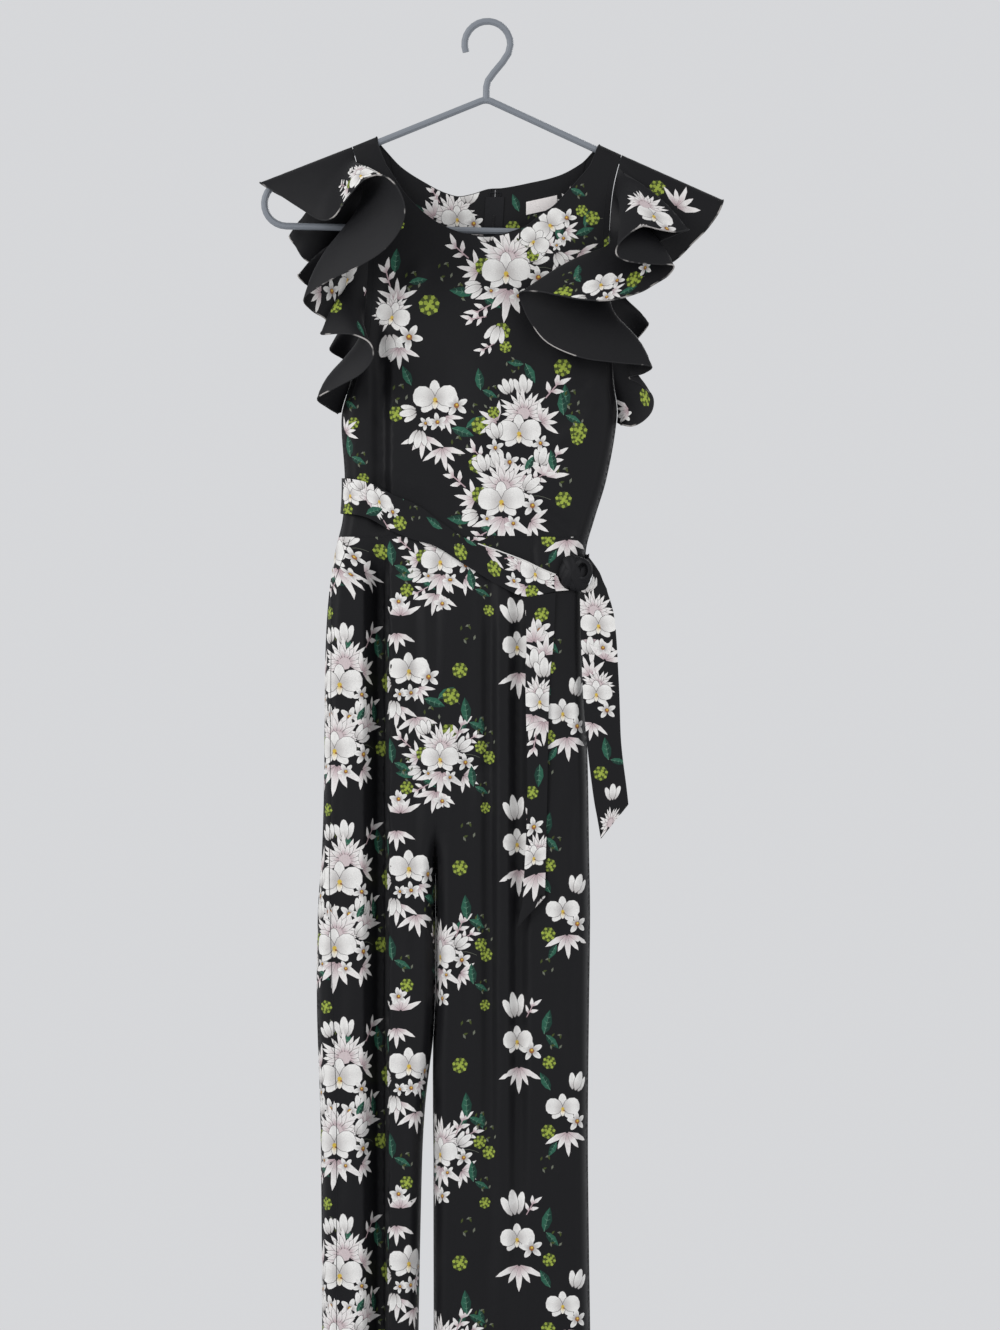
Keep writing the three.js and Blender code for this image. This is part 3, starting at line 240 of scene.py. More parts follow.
def fold_depth(folds, x, drop):
    total = 0.0
    for at, flat, left_flank, right_flank, depth, shelf, start, full, fade, end in folds:
        strength = smooth((drop - start) / (full - start)) * (1 - smooth((drop - fade) / (end - fade)))
        left = smooth((x - at + left_flank) / left_flank)
        right = 1 - smooth((x - at - flat) / right_flank)
        total = total + strength * np.minimum(mix(shelf, depth, left), depth * right)
    return total


def crease_depth(creases, x, drop):
    """Soft troughs and ridges along short lines, fading at both ends, each a little uneven."""
    total = 0.0
    for number, (x0, d0, x1, d1, half, depth) in enumerate(creases):
        length = math.hypot(x1 - x0, d1 - d0)
        along = ((x - x0) * (x1 - x0) + (drop - d0) * (d1 - d0)) / length
        wander = 0.3 * half * np.sin(along / 23 + number)
        across = ((x - x0) * (d1 - d0) - (drop - d0) * (x1 - x0)) / length + wander
        reach = np.clip(along / length, -0.2, 1.2)
        fade = smooth((reach + 0.2) / 0.4) * smooth((1.2 - reach) / 0.4)
        uneven = 0.8 + 0.3 * np.sin(along / 31 + 2 * number)
        total = total + depth * fade * uneven * np.exp(-((across / half) ** 2))
    return total


def surface_y(side, x, drop, with_folds=True):
    """Outer surface of the garment, side -1 in front and 1 behind."""
    front = side < 0
    bodice = FRONT_DEPTH if front else BACK_DEPTH
    leg = LEG_FRONT_DEPTH if front else LEG_BACK_DEPTH
    below = np.maximum(0, drop - shoulder_drop(x))
    over = np.sqrt(np.maximum(0, WRAP ** 2 - np.maximum(0, WRAP - below) ** 2))
    swell = (bodice - WRAP) * np.clip((below - WRAP) / SWELL_OVER, 0, 1) ** 0.8
    depth = over + swell + (leg - bodice) * smooth((drop - 470) / 130)
    if with_folds:
        depth = depth - fold_depth(FRONT_FOLDS if front else BACK_FOLDS, x, drop)
        soft = crease_depth(FRONT_CREASES if front else BACK_CREASES, x, drop)
        depth = depth - CREASE * soft * smooth((below - 20) / 40)
    underarm = np.where(x < 0, UNDERARM_LEFT, UNDERARM_RIGHT)
    closed = smooth((drop - underarm + ARM_CLOSE) / ARM_CLOSE)
    to_side = np.clip(np.minimum(x - left_edge(drop), right_edge(drop) - x), 0, SIDE_ROUND)
    round_side = np.sqrt(1 - (1 - to_side / SIDE_ROUND) ** 2)
    depth = mix(depth, mix(SEAM / 2, depth, round_side), closed)
    if with_folds:
        split = smooth((drop - CROTCH) / 60)
        to_centre = np.clip(np.abs(x - centre_line(drop)) - leg_gap(drop), 0, SIDE_ROUND)
        round_centre = np.sqrt(1 - (1 - to_centre / SIDE_ROUND) ** 2)
        depth = mix(depth, mix(SEAM / 2, depth, round_centre), split)
    return side * depth


class PanelChart:
    """A panel given by its own left and right edges and top, as a depth over x and drop."""

    def __init__(self, side, left, right, top, bottom, middle=0.0, step=(3.6, 6.0)):
        self.side, self.left, self.right, self.top, self.bottom = side, left, right, top, bottom
        self.step = step
        self.across = np.linspace(-240, 240, 961)
        self.rows = np.arange(60, HEM + 21, 5.0)
        grid_x, grid_drop = np.meshgrid(self.across, self.rows)
        inside = np.clip(grid_x, left_edge(grid_drop) + 0.01, right_edge(grid_drop) - 0.01)
        depth = surface_y(side, inside, grid_drop)
        run = np.hypot(np.diff(grid_x, axis=1), np.diff(depth, axis=1))
        self.length = np.concatenate([np.zeros((len(self.rows), 1)), np.cumsum(run, axis=1)], axis=1)
        # lengths are counted from one upright line, so that the print stays straight beside it
        at = np.argmin(np.abs(self.across - middle))
        self.length += middle - self.length[:, at:at + 1]

    def cloth(self, x, drop):
        """Distance along the cloth from x = 0, and the drop."""
        row = np.clip((np.asarray(drop) - self.rows[0]) / 5.0, 0, len(self.rows) - 1.001)
        col = np.clip((np.asarray(x) + 240) / 0.5, 0, len(self.across) - 1.001)
        i, j = row.astype(int), col.astype(int)
        a, b = row - i, col - j
        low = mix(self.length[i, j], self.length[i, j + 1], b)
        high = mix(self.length[i + 1, j], self.length[i + 1, j + 1], b)
        return mix(low, high, a), np.asarray(drop, dtype=float)

    def from_cloth(self, s, drop):
        row = np.clip((np.asarray(drop) - self.rows[0]) / 5.0, 0, len(self.rows) - 1.001)
        whole = row.astype(int)
        x = np.empty(len(s))
        for i in np.unique(whole):
            pick = whole == i
            above = np.interp(s[pick], self.length[i], self.across)
            below = np.interp(s[pick], self.length[i + 1], self.across)
            x[pick] = mix(above, below, row[pick] - i)
        return x, np.asarray(drop, dtype=float)

    def border(self):
        points = []
        count = int((self.bottom - self.top(self.left, True)) / 5)
        for drop in np.linspace(self.top(self.left, True), self.bottom, count):
            points.append((float(self.left(drop)), float(drop)))
        low_left, low_right = float(self.left(self.bottom)), float(self.right(self.bottom))
        for x in np.linspace(low_left, low_right, int((low_right - low_left) / 3) + 2)[1:-1]:
            points.append((float(x), self.bottom))
        count = int((self.bottom - self.top(self.right, False)) / 5)
        for drop in np.linspace(self.bottom, self.top(self.right, False), count):
            points.append((float(self.right(drop)), float(drop)))
        points.extend(self.top.between())
        return np.array(points)

    def inner(self):
        points = []
        gap, tall = self.step
        for k, drop in enumerate(np.arange(self.top.lowest() + 2, self.bottom - 2, tall)):
            s0, s1 = self.cloth(np.array([self.left(drop), self.right(drop)]), np.array([drop, drop]))[0]
            lengths = np.arange(s0 + gap * (0.5 if k % 2 else 1.0), s1 - gap * 0.4, gap)
            x, _ = self.from_cloth(lengths, np.full(len(lengths), drop))
            keep = (drop > self.top.at(x) + 1.5) & (x > self.left(drop) + 0.8) & (x < self.right(drop) - 0.8)
            points.extend((float(v), float(drop)) for v in x[keep])
        return np.array(points)

    def surface(self, p, q):
        inside = np.clip(p, left_edge(q), right_edge(q))
        return np.stack([p, surface_y(self.side, inside, q), -np.asarray(q, dtype=float)], axis=-1)

    def place(self, x, drop):
        return {"at": (x, drop), "turn": 0.0}

    def to_chart(self, place, points):
        s0, d0 = self.cloth(np.array([place["at"][0]]), np.array([place["at"][1]]))
        x, drop = self.from_cloth(s0[0] + points[:, 0], d0[0] - points[:, 1])
        return np.stack([x, drop], axis=-1)

    def to_cloth(self, place, p, q):
        s0, d0 = self.cloth(np.array([place["at"][0]]), np.array([place["at"][1]]))
        s, drop = self.cloth(p, q)
        return np.stack([s - s0[0], d0[0] - drop], axis=-1)

    flip = property(lambda self: self.side < 0)
    outward = property(lambda self: 1.0)


class FlatTop:
    """A panel's straight top edge."""

    def __init__(self, drop):
        self.drop = drop

    def __call__(self, edge, at_left):
        return self.drop

    def at(self, x):
        return np.full(np.shape(x), self.drop)

    def lowest(self):
        return self.drop

    def between(self):
        return []


class LegTop(FlatTop):
    """The waist seam of one leg, with points along it."""

    def __init__(self, left, right):
        super().__init__(WAIST + SEAM / 2)
        self.left, self.right = left, right

    def between(self):
        x0, x1 = float(self.left(self.drop)), float(self.right(self.drop))
        return [(float(x), self.drop) for x in np.linspace(x1, x0, int((x1 - x0) / 3) + 2)[1:-1]]


class NeckTop:
    """The shoulder straps and neckline of a bodice panel, between two shares of the width."""

    def __init__(self, neck, low, high, side):
        self.neck, self.low, self.high, self.side = neck, low, high, side
        shares = np.unique(np.concatenate([np.linspace(low, high, 70), neck[:, 0]]))
        shares = shares[(shares >= low) & (shares <= high)]
        self.shares = shares
        drops = column(neck, 1, shares)
        strap = (shares <= NECK_POINT) | (shares >= 1 - NECK_POINT)
        for _ in range(4):
            x = mix(left_edge(drops), right_edge(drops), shares)
            drops = np.where(strap, shoulder_drop(x), drops)
        self.x = mix(left_edge(drops), right_edge(drops), shares)
        self.drops = drops

    def __call__(self, edge, at_left):
        return float(self.drops[0] if at_left else self.drops[-1])

    def at(self, x):
        return np.interp(x, self.x, self.drops)

    def lowest(self):
        return float(self.drops.min())

    def between(self):
        pairs = list(zip(self.x, self.drops))[1:-1]
        return [(float(x), float(d)) for x, d in reversed(pairs)]


class StripChart:
    """A strip given by rows of points: p is a distance along it, q the share from 0 to 1 across."""

    def __init__(self, rows, flip, step, mean_share=0.7):
        self.rows = rows
        self.flip = flip
        self.outward = -1.0 if flip else 1.0
        self.step = step
        shares = rows.shape[1]
        mid = rows[:, int(round(mean_share * (shares - 1)))]
        run = np.linalg.norm(np.diff(mid, axis=0), axis=1)
        self.along = np.concatenate([[0.0], np.cumsum(run)])
        self.total = float(self.along[-1])

    def border(self):
        gap, share = self.step
        count = int(self.total / gap) + 1
        along = np.linspace(0, self.total, count)
        across = np.linspace(0, 1, int(1 / share) + 1)
        points = [(a, 0.0) for a in along] + [(self.total, c) for c in across[1:-1]]
        points += [(a, 1.0) for a in along[::-1]] + [(0.0, c) for c in across[-2:0:-1]]
        return np.array(points)

    def inner(self):
        gap, share = self.step
        points = []
        for k, c in enumerate(np.arange(share, 1 - share * 0.4, share)):
            start = gap * (0.5 if k % 2 else 1.0)
            points.extend((a, c) for a in np.arange(start, self.total - gap * 0.4, gap))
        return np.array(points)

    def surface(self, p, q):
        row = np.interp(p, self.along, np.arange(len(self.along)))
        col = np.clip(q, 0, 1) * (self.rows.shape[1] - 1)
        i = np.clip(row.astype(int), 0, self.rows.shape[0] - 2)
        j = np.clip(col.astype(int), 0, self.rows.shape[1] - 2)
        a, b = (row - i)[:, None], (col - j)[:, None]
        low = mix(self.rows[i, j], self.rows[i, j + 1], b)
        high = mix(self.rows[i + 1, j], self.rows[i + 1, j + 1], b)
        return mix(low, high, a)

    def place(self, x, drop):
        """The strip's own place and turn for what is seen in front at x and drop."""
        p, q = np.meshgrid(np.arange(1, self.total, 3.0), np.linspace(0.03, 0.97, 32))
        p, q = p.ravel(), q.ravel()
        points = self.surface(p, q)
        away = np.hypot(points[:, 0] - x, points[:, 2] + drop)
        near = away < max(5.0, away.min() + 1.5)
        best = np.flatnonzero(near)[np.argmin(points[near, 1] + away[near])]
        return self.measured(float(p[best]), float(q[best]))

    def measured(self, p, q):
        one = np.array([p, p, p, p]) + np.array([-1.5, 1.5, 0, 0])
        two = np.clip(np.array([q, q, q, q]) + np.array([0, 0, -0.02, 0.02]), 0, 1)
        a, b, c, d = self.surface(np.clip(one, 0, self.total), two)
        per_p = (b - a) / 3.0
        per_q = (d - c) / max(1e-6, float(two[3] - two[2]))
        scale_p = max(0.35, float(np.linalg.norm(per_p)))
        scale_q = max(8.0, float(np.linalg.norm(per_q)))
        flat = np.array([[per_p[0], per_q[0]], [per_p[2], per_q[2]]])
        turn = 0.0
        if abs(np.linalg.det(flat)) > 1e-3 * scale_q:
            up = np.linalg.solve(flat, np.array([0.0, 1.0])) * np.array([scale_p, scale_q])
            turn = math.atan2(-up[0], up[1]) if not self.flip else math.atan2(up[0], up[1])
        return {"at": (p, q), "turn": turn, "scale": (scale_p, scale_q)}

    def to_chart(self, place, points):
        sign = -1.0 if self.flip else 1.0
        p = place["at"][0] + sign * points[:, 0] / place["scale"][0]
        q = place["at"][1] + points[:, 1] / place["scale"][1]
        return np.stack([p, q], axis=-1)

    def to_cloth(self, place, p, q):
        sign = -1.0 if self.flip else 1.0
        du = sign * (p - place["at"][0]) * place["scale"][0]
        dv = (q - place["at"][1]) * place["scale"][1]
        return np.stack([du, dv], axis=-1)


def shade(red, green, blue):
    """A displayed colour, 0 to 255, as linear values."""
    value = np.array([red, green, blue]) / 255.0
    return np.where(value <= 0.04045, value / 12.92, ((value + 0.055) / 1.055) ** 2.4)


BLACK = shade(14, 14, 17)
LINE = shade(84, 80, 80)
WHITE = shade(228, 227, 224)
SHADE_WHITE = shade(178, 174, 172)
PINK = shade(176, 152, 157)
GREY = shade(152, 147, 146)
YELLOW = shade(202, 172, 70)
OCHRE = shade(140, 92, 54)
LEAF_DARK = shade(18, 54, 44)
LEAF_LIGHT = shade(38, 88, 70)
LEAF_RIB = shade(92, 132, 112)
LIME = shade(150, 166, 66)
LIME_DARK = shade(62, 72, 30)
TWIG = shade(104, 108, 94)


def turned(points, angle):
    c, s = math.cos(angle), math.sin(angle)
    return np.asarray(points, dtype=float) @ np.array([[c, s], [-s, c]])


FINE = np.array([0.0, 0.22, 0.5, 0.78, 0.94, 1.0])
COARSE = np.array([0.0, 0.4, 0.78, 1.0])


def petal(x, y, angle, length, width, tip, inner, outer, line=0.35, fine=True):
    """One petal from its foot, angle in degrees from straight right. tip is 0 round to 1 pointed."""
    t = FINE if fine else COARSE
    blunt = np.sqrt(np.clip(t * (1 - t) * 4, 0, 1)) ** 0.9 * (0.7 + 0.35 * t)
    sharp = np.sin(math.pi * t ** 0.8) * (1.02 - 0.35 * t)
    half = mix(blunt, sharp, tip) * width / 2
    half[0] = width * 0.05
    axis = math.radians(angle)

    def outline(grow):
        reach = t * (length + 2 * grow) - grow
        side = half + grow
        side[-1] = 0.0
        left = np.stack([reach, side], axis=-1)
        right = np.stack([reach, -side], axis=-1)[-2::-1]
        return turned(np.concatenate([left, right]), axis) + (x, y)

    shapes = []
    if line:
        shapes.append({"points": outline(line), "inner": LINE, "outer": LINE, "axis": None})
    shapes.append({
        "points": outline(0.0), "inner": inner, "outer": outer, "axis": (x, y, axis, length, width), "rib": fine,
    })
    return shapes


def blob(x, y, radius, inner, sides=6, start=0.0):
    turn = np.arange(sides) * 2 * math.pi / sides + start
    points = np.stack([x + radius * np.cos(turn), y + radius * np.sin(turn)], axis=-1)
    return {"points": points, "inner": inner, "outer": inner, "axis": None}


def orchid(size):
    shapes = []
    for angle, length, width in ((92, 0.46, 0.3), (222, 0.42, 0.27), (318, 0.42, 0.27)):
        shapes += petal(0, 0, angle, length * size, width * size, 0.35, SHADE_WHITE, WHITE)
    for angle in (172, 12):
        shapes += petal(0, 0.03 * size, angle, 0.52 * size, 0.56 * size, 0.05, SHADE_WHITE, WHITE)
    shapes += petal(0, -0.02 * size, 268, 0.2 * size, 0.16 * size, 0.6, YELLOW, WHITE)
    shapes.append(blob(0, 0.0, 0.055 * size, YELLOW))
    shapes.append(blob(0.035 * size, -0.045 * size, 0.028 * size, OCHRE, 5))
    return shapes


def small_orchid(size):
    shapes = []
    for angle in (100, 28, 322, 232, 168):
        a = math.radians(angle)
        foot = 0.05 * size
        shapes += petal(foot * math.cos(a), foot * math.sin(a), angle, 0.46 * size, 0.3 * size, 0.45, GREY, WHITE, 0)
    shapes.append(blob(0, 0, 0.12 * size, OCHRE, 7))
    shapes.append(blob(0.01 * size, 0.03 * size, 0.06 * size, YELLOW, 5))
    return shapes


def fan(size, low=-20, high=200, count=13, rings=2):
    """A spiky bloom of narrow pointed petals spread from low to high degrees."""
    shapes = []
    for ring in range(rings):
        petals = count - 3 * ring
        reach = (0.52 - 0.15 * ring) * size
        for k in range(petals):
            angle = mix(low + 8 * ring, high - 8 * ring, k / (petals - 1)) + 4 * math.sin(2.3 * k + ring)
            foot = 0.08 * size
            a = math.radians(angle)
            length = reach * (1 - 0.16 * ((k * 7 + ring) % 3) / 2) - foot
            x, y = foot * math.cos(a), foot * math.sin(a)
            line = 0.3 if ring else 0
            shapes += petal(x, y, angle, length, 0.105 * size, 0.75, PINK, WHITE, line, False)
    shapes.append(blob(0, 0, 0.12 * size, mix(PINK, WHITE, 0.35), 7))
    return shapes


def lily(size, count=5, spread=128):
    shapes = []
    for k in range(count):
        angle = 90 + spread * (k / (count - 1) - 0.5)
        length = size * (0.95 - 0.22 * (k % 2))
        a = math.radians(angle)
        x, y = 0.06 * size * math.cos(a), 0.06 * size * math.sin(a)
        shapes += petal(x, y, angle, length, 0.28 * size, 0.7, PINK, WHITE, 0.2, False)
    return shapes


def spray(size):
    """Pointed buds set in turn along a short stem that points up."""
    shapes = [{
        "points": np.array([(-0.02, -0.1), (0.02, -0.1), (0.02, 0.5), (-0.02, 0.5)]) * size,
        "inner": PINK, "outer": PINK, "axis": None,
    }]
    for y, angle, length in ((0.1, 142, 0.4), (0.18, 40, 0.42), (0.42, 118, 0.42), (0.46, 66, 0.52)):
        shapes += petal(0, y * size, angle, length * size, 0.2 * size, 0.8, PINK, WHITE, 0, False)
    return shapes


def bud(size):
    shapes = []
    for x, angle, length, width in ((-0.14, 112, 0.8, 0.36), (0.14, 70, 0.84, 0.36), (0, 90, 0.95, 0.48)):
        shapes += petal(x * size, 0, angle, length * size, width * size, 0.3, SHADE_WHITE, WHITE)
    return shapes


def rosette(size):
    shapes = [blob(0, 0, 0.5 * size, LIME_DARK, 9)]
    for ring, count, reach in ((0, 1, 0.0), (1, 4, 0.19), (2, 7, 0.4)):
        for k in range(count):
            turn = 2 * math.pi * k / count + ring
            radius = (0.13 - 0.008 * ring) * size
            tint = mix(LIME, LIME_DARK, 0.25 * ((k + ring) % 3) / 2)
            shapes.append(blob(reach * size * math.cos(turn), reach * size * math.sin(turn), radius, tint, 5, turn))
    return shapes


def leaf(size):
    t = np.array([0.0, 0.2, 0.5, 0.8, 1.0])
    half = np.sin(math.pi * t ** 0.85) * 0.21 * size
    left = np.stack([-half, t * size], axis=-1)
    right = np.stack([half, t * size], axis=-1)
    middle = np.array([(0.0, 0.98), (0.0, 0.02)]) * size
    shapes = [
        {"points": np.concatenate([left, middle]), "inner": LEAF_LIGHT, "outer": LEAF_LIGHT, "axis": None},
        {"points": np.concatenate([right, middle]), "inner": LEAF_DARK, "outer": LEAF_DARK, "axis": None},
    ]
    for k in range(1, 4):
        y = 0.22 * k * size
        reach = 0.14 * size * math.sin(math.pi * (0.22 * k) ** 0.85)
        for hand in (-1, 1):
            foot = np.array([0, y])
            end = foot + (hand * reach, 0.5 * reach + 0.03 * size)
            points = np.array([foot, foot + (0, 0.03 * size), end])
            shapes.append({"points": points, "inner": LEAF_RIB, "outer": LEAF_RIB, "axis": None})
    rib = np.array([(-0.012, 0.0), (0.012, 0.0), (0.006, 0.9)]) * size
    shapes.append({"points": rib, "inner": LEAF_RIB, "outer": LEAF_RIB, "axis": None})
    return shapes


def sprig(size):
    """Tiny dull leaves scattered along a bent twig."""
    shapes = []
    for k, (x, y, angle) in enumerate(((-0.3, 0.1, 70), (-0.05, 0.3, 20), (0.2, 0.15, 110), (0.38, -0.1, 250),
                                      (0.05, -0.25, 200), (-0.2, -0.3, 300))):
        tint = TWIG if k % 2 else LIME_DARK
        long, wide = 0.27 * size, 0.06 * size
        points = turned([(0, 0), (0.5 * long, wide), (long, 0), (0.5 * long, -wide)], math.radians(angle))
        shapes.append({"points": points + (x * size, y * size), "inner": tint, "outer": tint, "axis": None})
    return shapes


def tendril(size):
    t = np.linspace(0, 1, 7)
    path = np.stack([size * t, 0.22 * size * np.sin(math.pi * t)], axis=-1)
    width = np.array([0.0, 0.35])
    return [{"points": np.concatenate([path, path[::-1] + width]), "inner": TWIG, "outer": TWIG, "axis": None}]


# Groups of motifs. Columns: motif, right, up, size, turn in degrees from upright
GREAT = [
    (tendril, 14, -4, 28, 12), (sprig, 52, 22, 18, 0), (sprig, -36, -14, 16, 30),
    (leaf, -26, -16, 20, 82), (leaf, -18, -20, 16, -120), (leaf, 44, 26, 18, 8), (leaf, 20, 26, 15, -30),
    (spray, -32, 14, 24, 48), (spray, 26, 18, 22, -60), (lily, -22, 2, 18, 78), (lily, 24, -16, 18, -120),
    (fan, 2, 12, 52, 0), (bud, -14, 26, 16, 20), (lily, 2, -12, 28, 172), (spray, -14, -26, 22, 118),
    (rosette, -18, 6, 14, 0), (bud, 20, 10, 17, -50), (bud, -20, -10, 15, 110), (orchid, 0, 0, 38, 0),
    (small_orchid, 26, -3, 19, 0), (small_orchid, 10, -18, 15, 20), (small_orchid, -12, -14, 13, 50),
    (rosette, 52, 2, 14, 0),
]
TALL = [
    (leaf, 40, 22, 20, 4), (rosette, 50, 2, 15, 0), (sprig, 44, 30, 18, 0), (sprig, -34, 20, 16, 60),
    (spray, 24, 32, 26, -40), (bud, 4, 34, 17, 4), (bud, -8, 34, 14, 24), (fan, 4, 17, 44, 0),
    (spray, -30, -22, 22, 44), (spray, 26, -26, 22, -34), (lily, 18, 10, 18, -60), (lily, -18, 10, 18, 60),
    (lily, 22, -36, 20, -20), (bud, -18, -28, 16, 16), (bud, 18, -26, 16, -14), (lily, 0, -34, 20, 180),
    (orchid, 0, 0, 36, 0), (bud, -18, -4, 15, 20), (small_orchid, -20, -12, 15, 0), (small_orchid, 18, -8, 15, 30),
    (small_orchid, -8, -24, 17, 0), (small_orchid, 8, -26, 17, 40),
]
SINGLE = [
    (sprig, -30, 6, 18, 0), (leaf, -20, 12, 18, 24), (rosette, -33, -12, 13, 0), (tendril, 24, -26, 22, -8),
    (sprig, 20, -38, 18, 20), (leaf, 26, -24, 18, -56), (leaf, 14, -24, 20, -110), (rosette, 38, -22, 15, 0),
    (rosette, 36, -54, 16, 0), (lily, -10, -30, 20, 176), (bud, -13, -26, 16, 170), (lily, 6, -40, 20, 190),
    (lily, 8, -14, 16, 200), (bud, -16, -10, 15, 100), (orchid, 0, 0, 36, 0), (small_orchid, 18, -5, 20, 0),
    (small_orchid, 2, -19, 16, 0), (small_orchid, -8, -20, 12, 30),
]
SIDE = [
    (spray, -6, 24, 24, 14), (lily, 0, 12, 18, 0), (fan, -4, 2, 34, 40), (leaf, -2, 34, 20, -6),
    (rosette, 26, 8, 17, 0), (leaf, 10, 26, 15, -80), (sprig, 12, 28, 18, 0), (orchid, -4, -2, 28, -20),
    (bud, -6, -16, 22, 184), (lily, 2, -26, 18, 180), (small_orchid, 10, -18, 22, 30),
]
PAIR = [
    (leaf, 0, 0, 24, 6), (leaf, 2, 0, 18, -118), (sprig, 13, -2, 18, 0), (rosette, 14, -24, 13, 0),
]

# What the bodice's front carries. Columns: group or motif, x, drop, size (for one motif), turn
BODICE_PRINT = [
    (GREAT, 17.5, 243, 1.2, 0), (SIDE, -88, 283, 1.2, 0), (SINGLE, -51, 365, 1.15, 0), (TALL, 30, 398, 1.15, 0),
    (GREAT, 13, 464, 1.15, 0), (PAIR, 36, 330, 0.9, 200), (PAIR, 73, 380, 0.95, 0), (PAIR, -7, 356, 0.9, 0),
    (PAIR, -138, 366, 0.9, 0), (PAIR, -133, 420, 0.9, 0), (rosette, 13, 299, 17, 0), (bud, 10, 294, 20, 160),
    (spray, -4, 285, 24, 100), (rosette, 72, 334, 17, 0), (sprig, -42, 240, 20, 0), (PAIR, 78, 160, 0.9, 0),
    (SINGLE, 60, 196, 0.95, 40), (PAIR, -97, 176, 0.8, 0), (lily, -138, 396, 16, -50), (spray, 4, 312, 20, 120),
    (orchid, 44, 212, 30, -40),
]
# One repeat down the legs, at its first drop. The same columns
LEG_REPEAT = 190.0
BODICE_MIDDLE = -10.0
LEGS_MIDDLE = -32.0
LEG_PRINT = [
    (TALL, -143, 640, 1.2, 0), (GREAT, -148, 704, 1.1, 0), (PAIR, -139, 782, 1.0, 190), (SINGLE, -76, 627, 1.1, 0),
    (PAIR, -92, 525, 1.0, 0), (lily, -84, 574, 22, 0), (small_orchid, -86, 560, 18, 0), (lily, -88, 590, 20, 180),
    (GREAT, -46, 712, 0.95, 0), (spray, -30, 690, 26, -24), (lily, -50, 742, 22, 170), (small_orchid, -44, 752, 18, 0),
    (PAIR, -20, 676, 1.0, 0), (rosette, -27, 626, 15, 0), (PAIR, -14, 738, 0.85, 0), (sprig, -20, 590, 20, 0),
    (orchid, 28, 604, 34, 0), (bud, 26, 580, 26, 10), (lily, 30, 628, 26, 180), (small_orchid, 42, 612, 22, 0),
    (spray, 38, 578, 22, -30), (PAIR, 54, 596, 1.0, -20), (orchid, 72, 668, 32, 0), (lily, 76, 690, 24, 184),
    (small_orchid, 86, 680, 20, 0), (bud, 84, 650, 20, -20), (leaf, 60, 650, 20, 30), (rosette, 58, 690, 14, 0),
    (leaf, 66, 700, 16, 150), (sprig, 56, 720, 18, 0),
]


def shapes_of(item, size, turn):
    """The outlines of one motif, or of a group of them, in millimetres of cloth."""
    found = []
    if isinstance(item, list):
        for motif, right, up, motif_size, motif_turn in item:
            if turn:
                right, up = turned([(right, up)], math.radians(turn))[0]
            for shape in motif(motif_size * size):
                found.append(moved(shape, right * size, up * size, motif_turn + turn))
    else:
        for shape in item(size):
            found.append(moved(shape, 0.0, 0.0, turn))
    return found


def moved(shape, x, y, degrees):
    angle = math.radians(degrees)
    new = dict(shape)
    new["points"] = turned(shape["points"], angle) + (x, y)
    if shape["axis"]:
        foot = turned([shape["axis"][:2]], angle)[0] + (x, y)
        new["axis"] = (foot[0], foot[1], shape["axis"][2] + angle, shape["axis"][3], shape["axis"][4])
    return new


def anticlockwise(points):
    """The same outline, turned so that it runs anticlockwise."""
    x, y = points[:, 0], points[:, 1]
    area = np.sum(x * np.roll(y, -1) - y * np.roll(x, -1))
    return points if area > 0 else points[::-1]


def triangles(points, polygons, stretch):
    """Triangles inside the first polygon, each with the last polygon that holds it, and the input of each point."""
    flat = [Vector((a, b * stretch)) for a, b in points]
    made, _, faces, origins, _, owners = delaunay_2d_cdt(flat, [], polygons, 1, 1e-4, True)
    spots = np.array([(v.x, v.y / stretch) for v in made])
    boxes = [(min(points[i][0] for i in polygon), min(points[i][1] for i in polygon),
              max(points[i][0] for i in polygon), max(points[i][1] for i in polygon)) for polygon in polygons]
    kept, top = [], []
    for face, owner in zip(faces, owners):
        if 0 not in owner:
            continue
        x, y = spots[list(face)].mean(axis=0)
        # an outline that crosses itself claims ground far away, which its own box rules out
        for k in sorted(owner, reverse=True):
            box = boxes[k]
            if k == 0 or (box[0] <= x <= box[2] and box[1] <= y <= box[3]):
                break
        kept.append(face)
        top.append(k)
    kept, top = np.array(kept), np.array(top)
    a, b, c = (spots[kept[:, k]] for k in range(3))
    area = (b[:, 0] - a[:, 0]) * (c[:, 1] - a[:, 1]) - (b[:, 1] - a[:, 1]) * (c[:, 0] - a[:, 0])
    kept[area < 0] = kept[area < 0][:, ::-1]
    return spots, kept, top, origins


def rim_edges(faces):
    """Edges that only one triangle has, as pairs in that triangle's own direction."""
    edges = np.concatenate([faces[:, [0, 1]], faces[:, [1, 2]], faces[:, [2, 0]]])
    pairs = {(int(i), int(j)) for i, j in edges}
    return [(i, j) for i, j in pairs if (j, i) not in pairs]


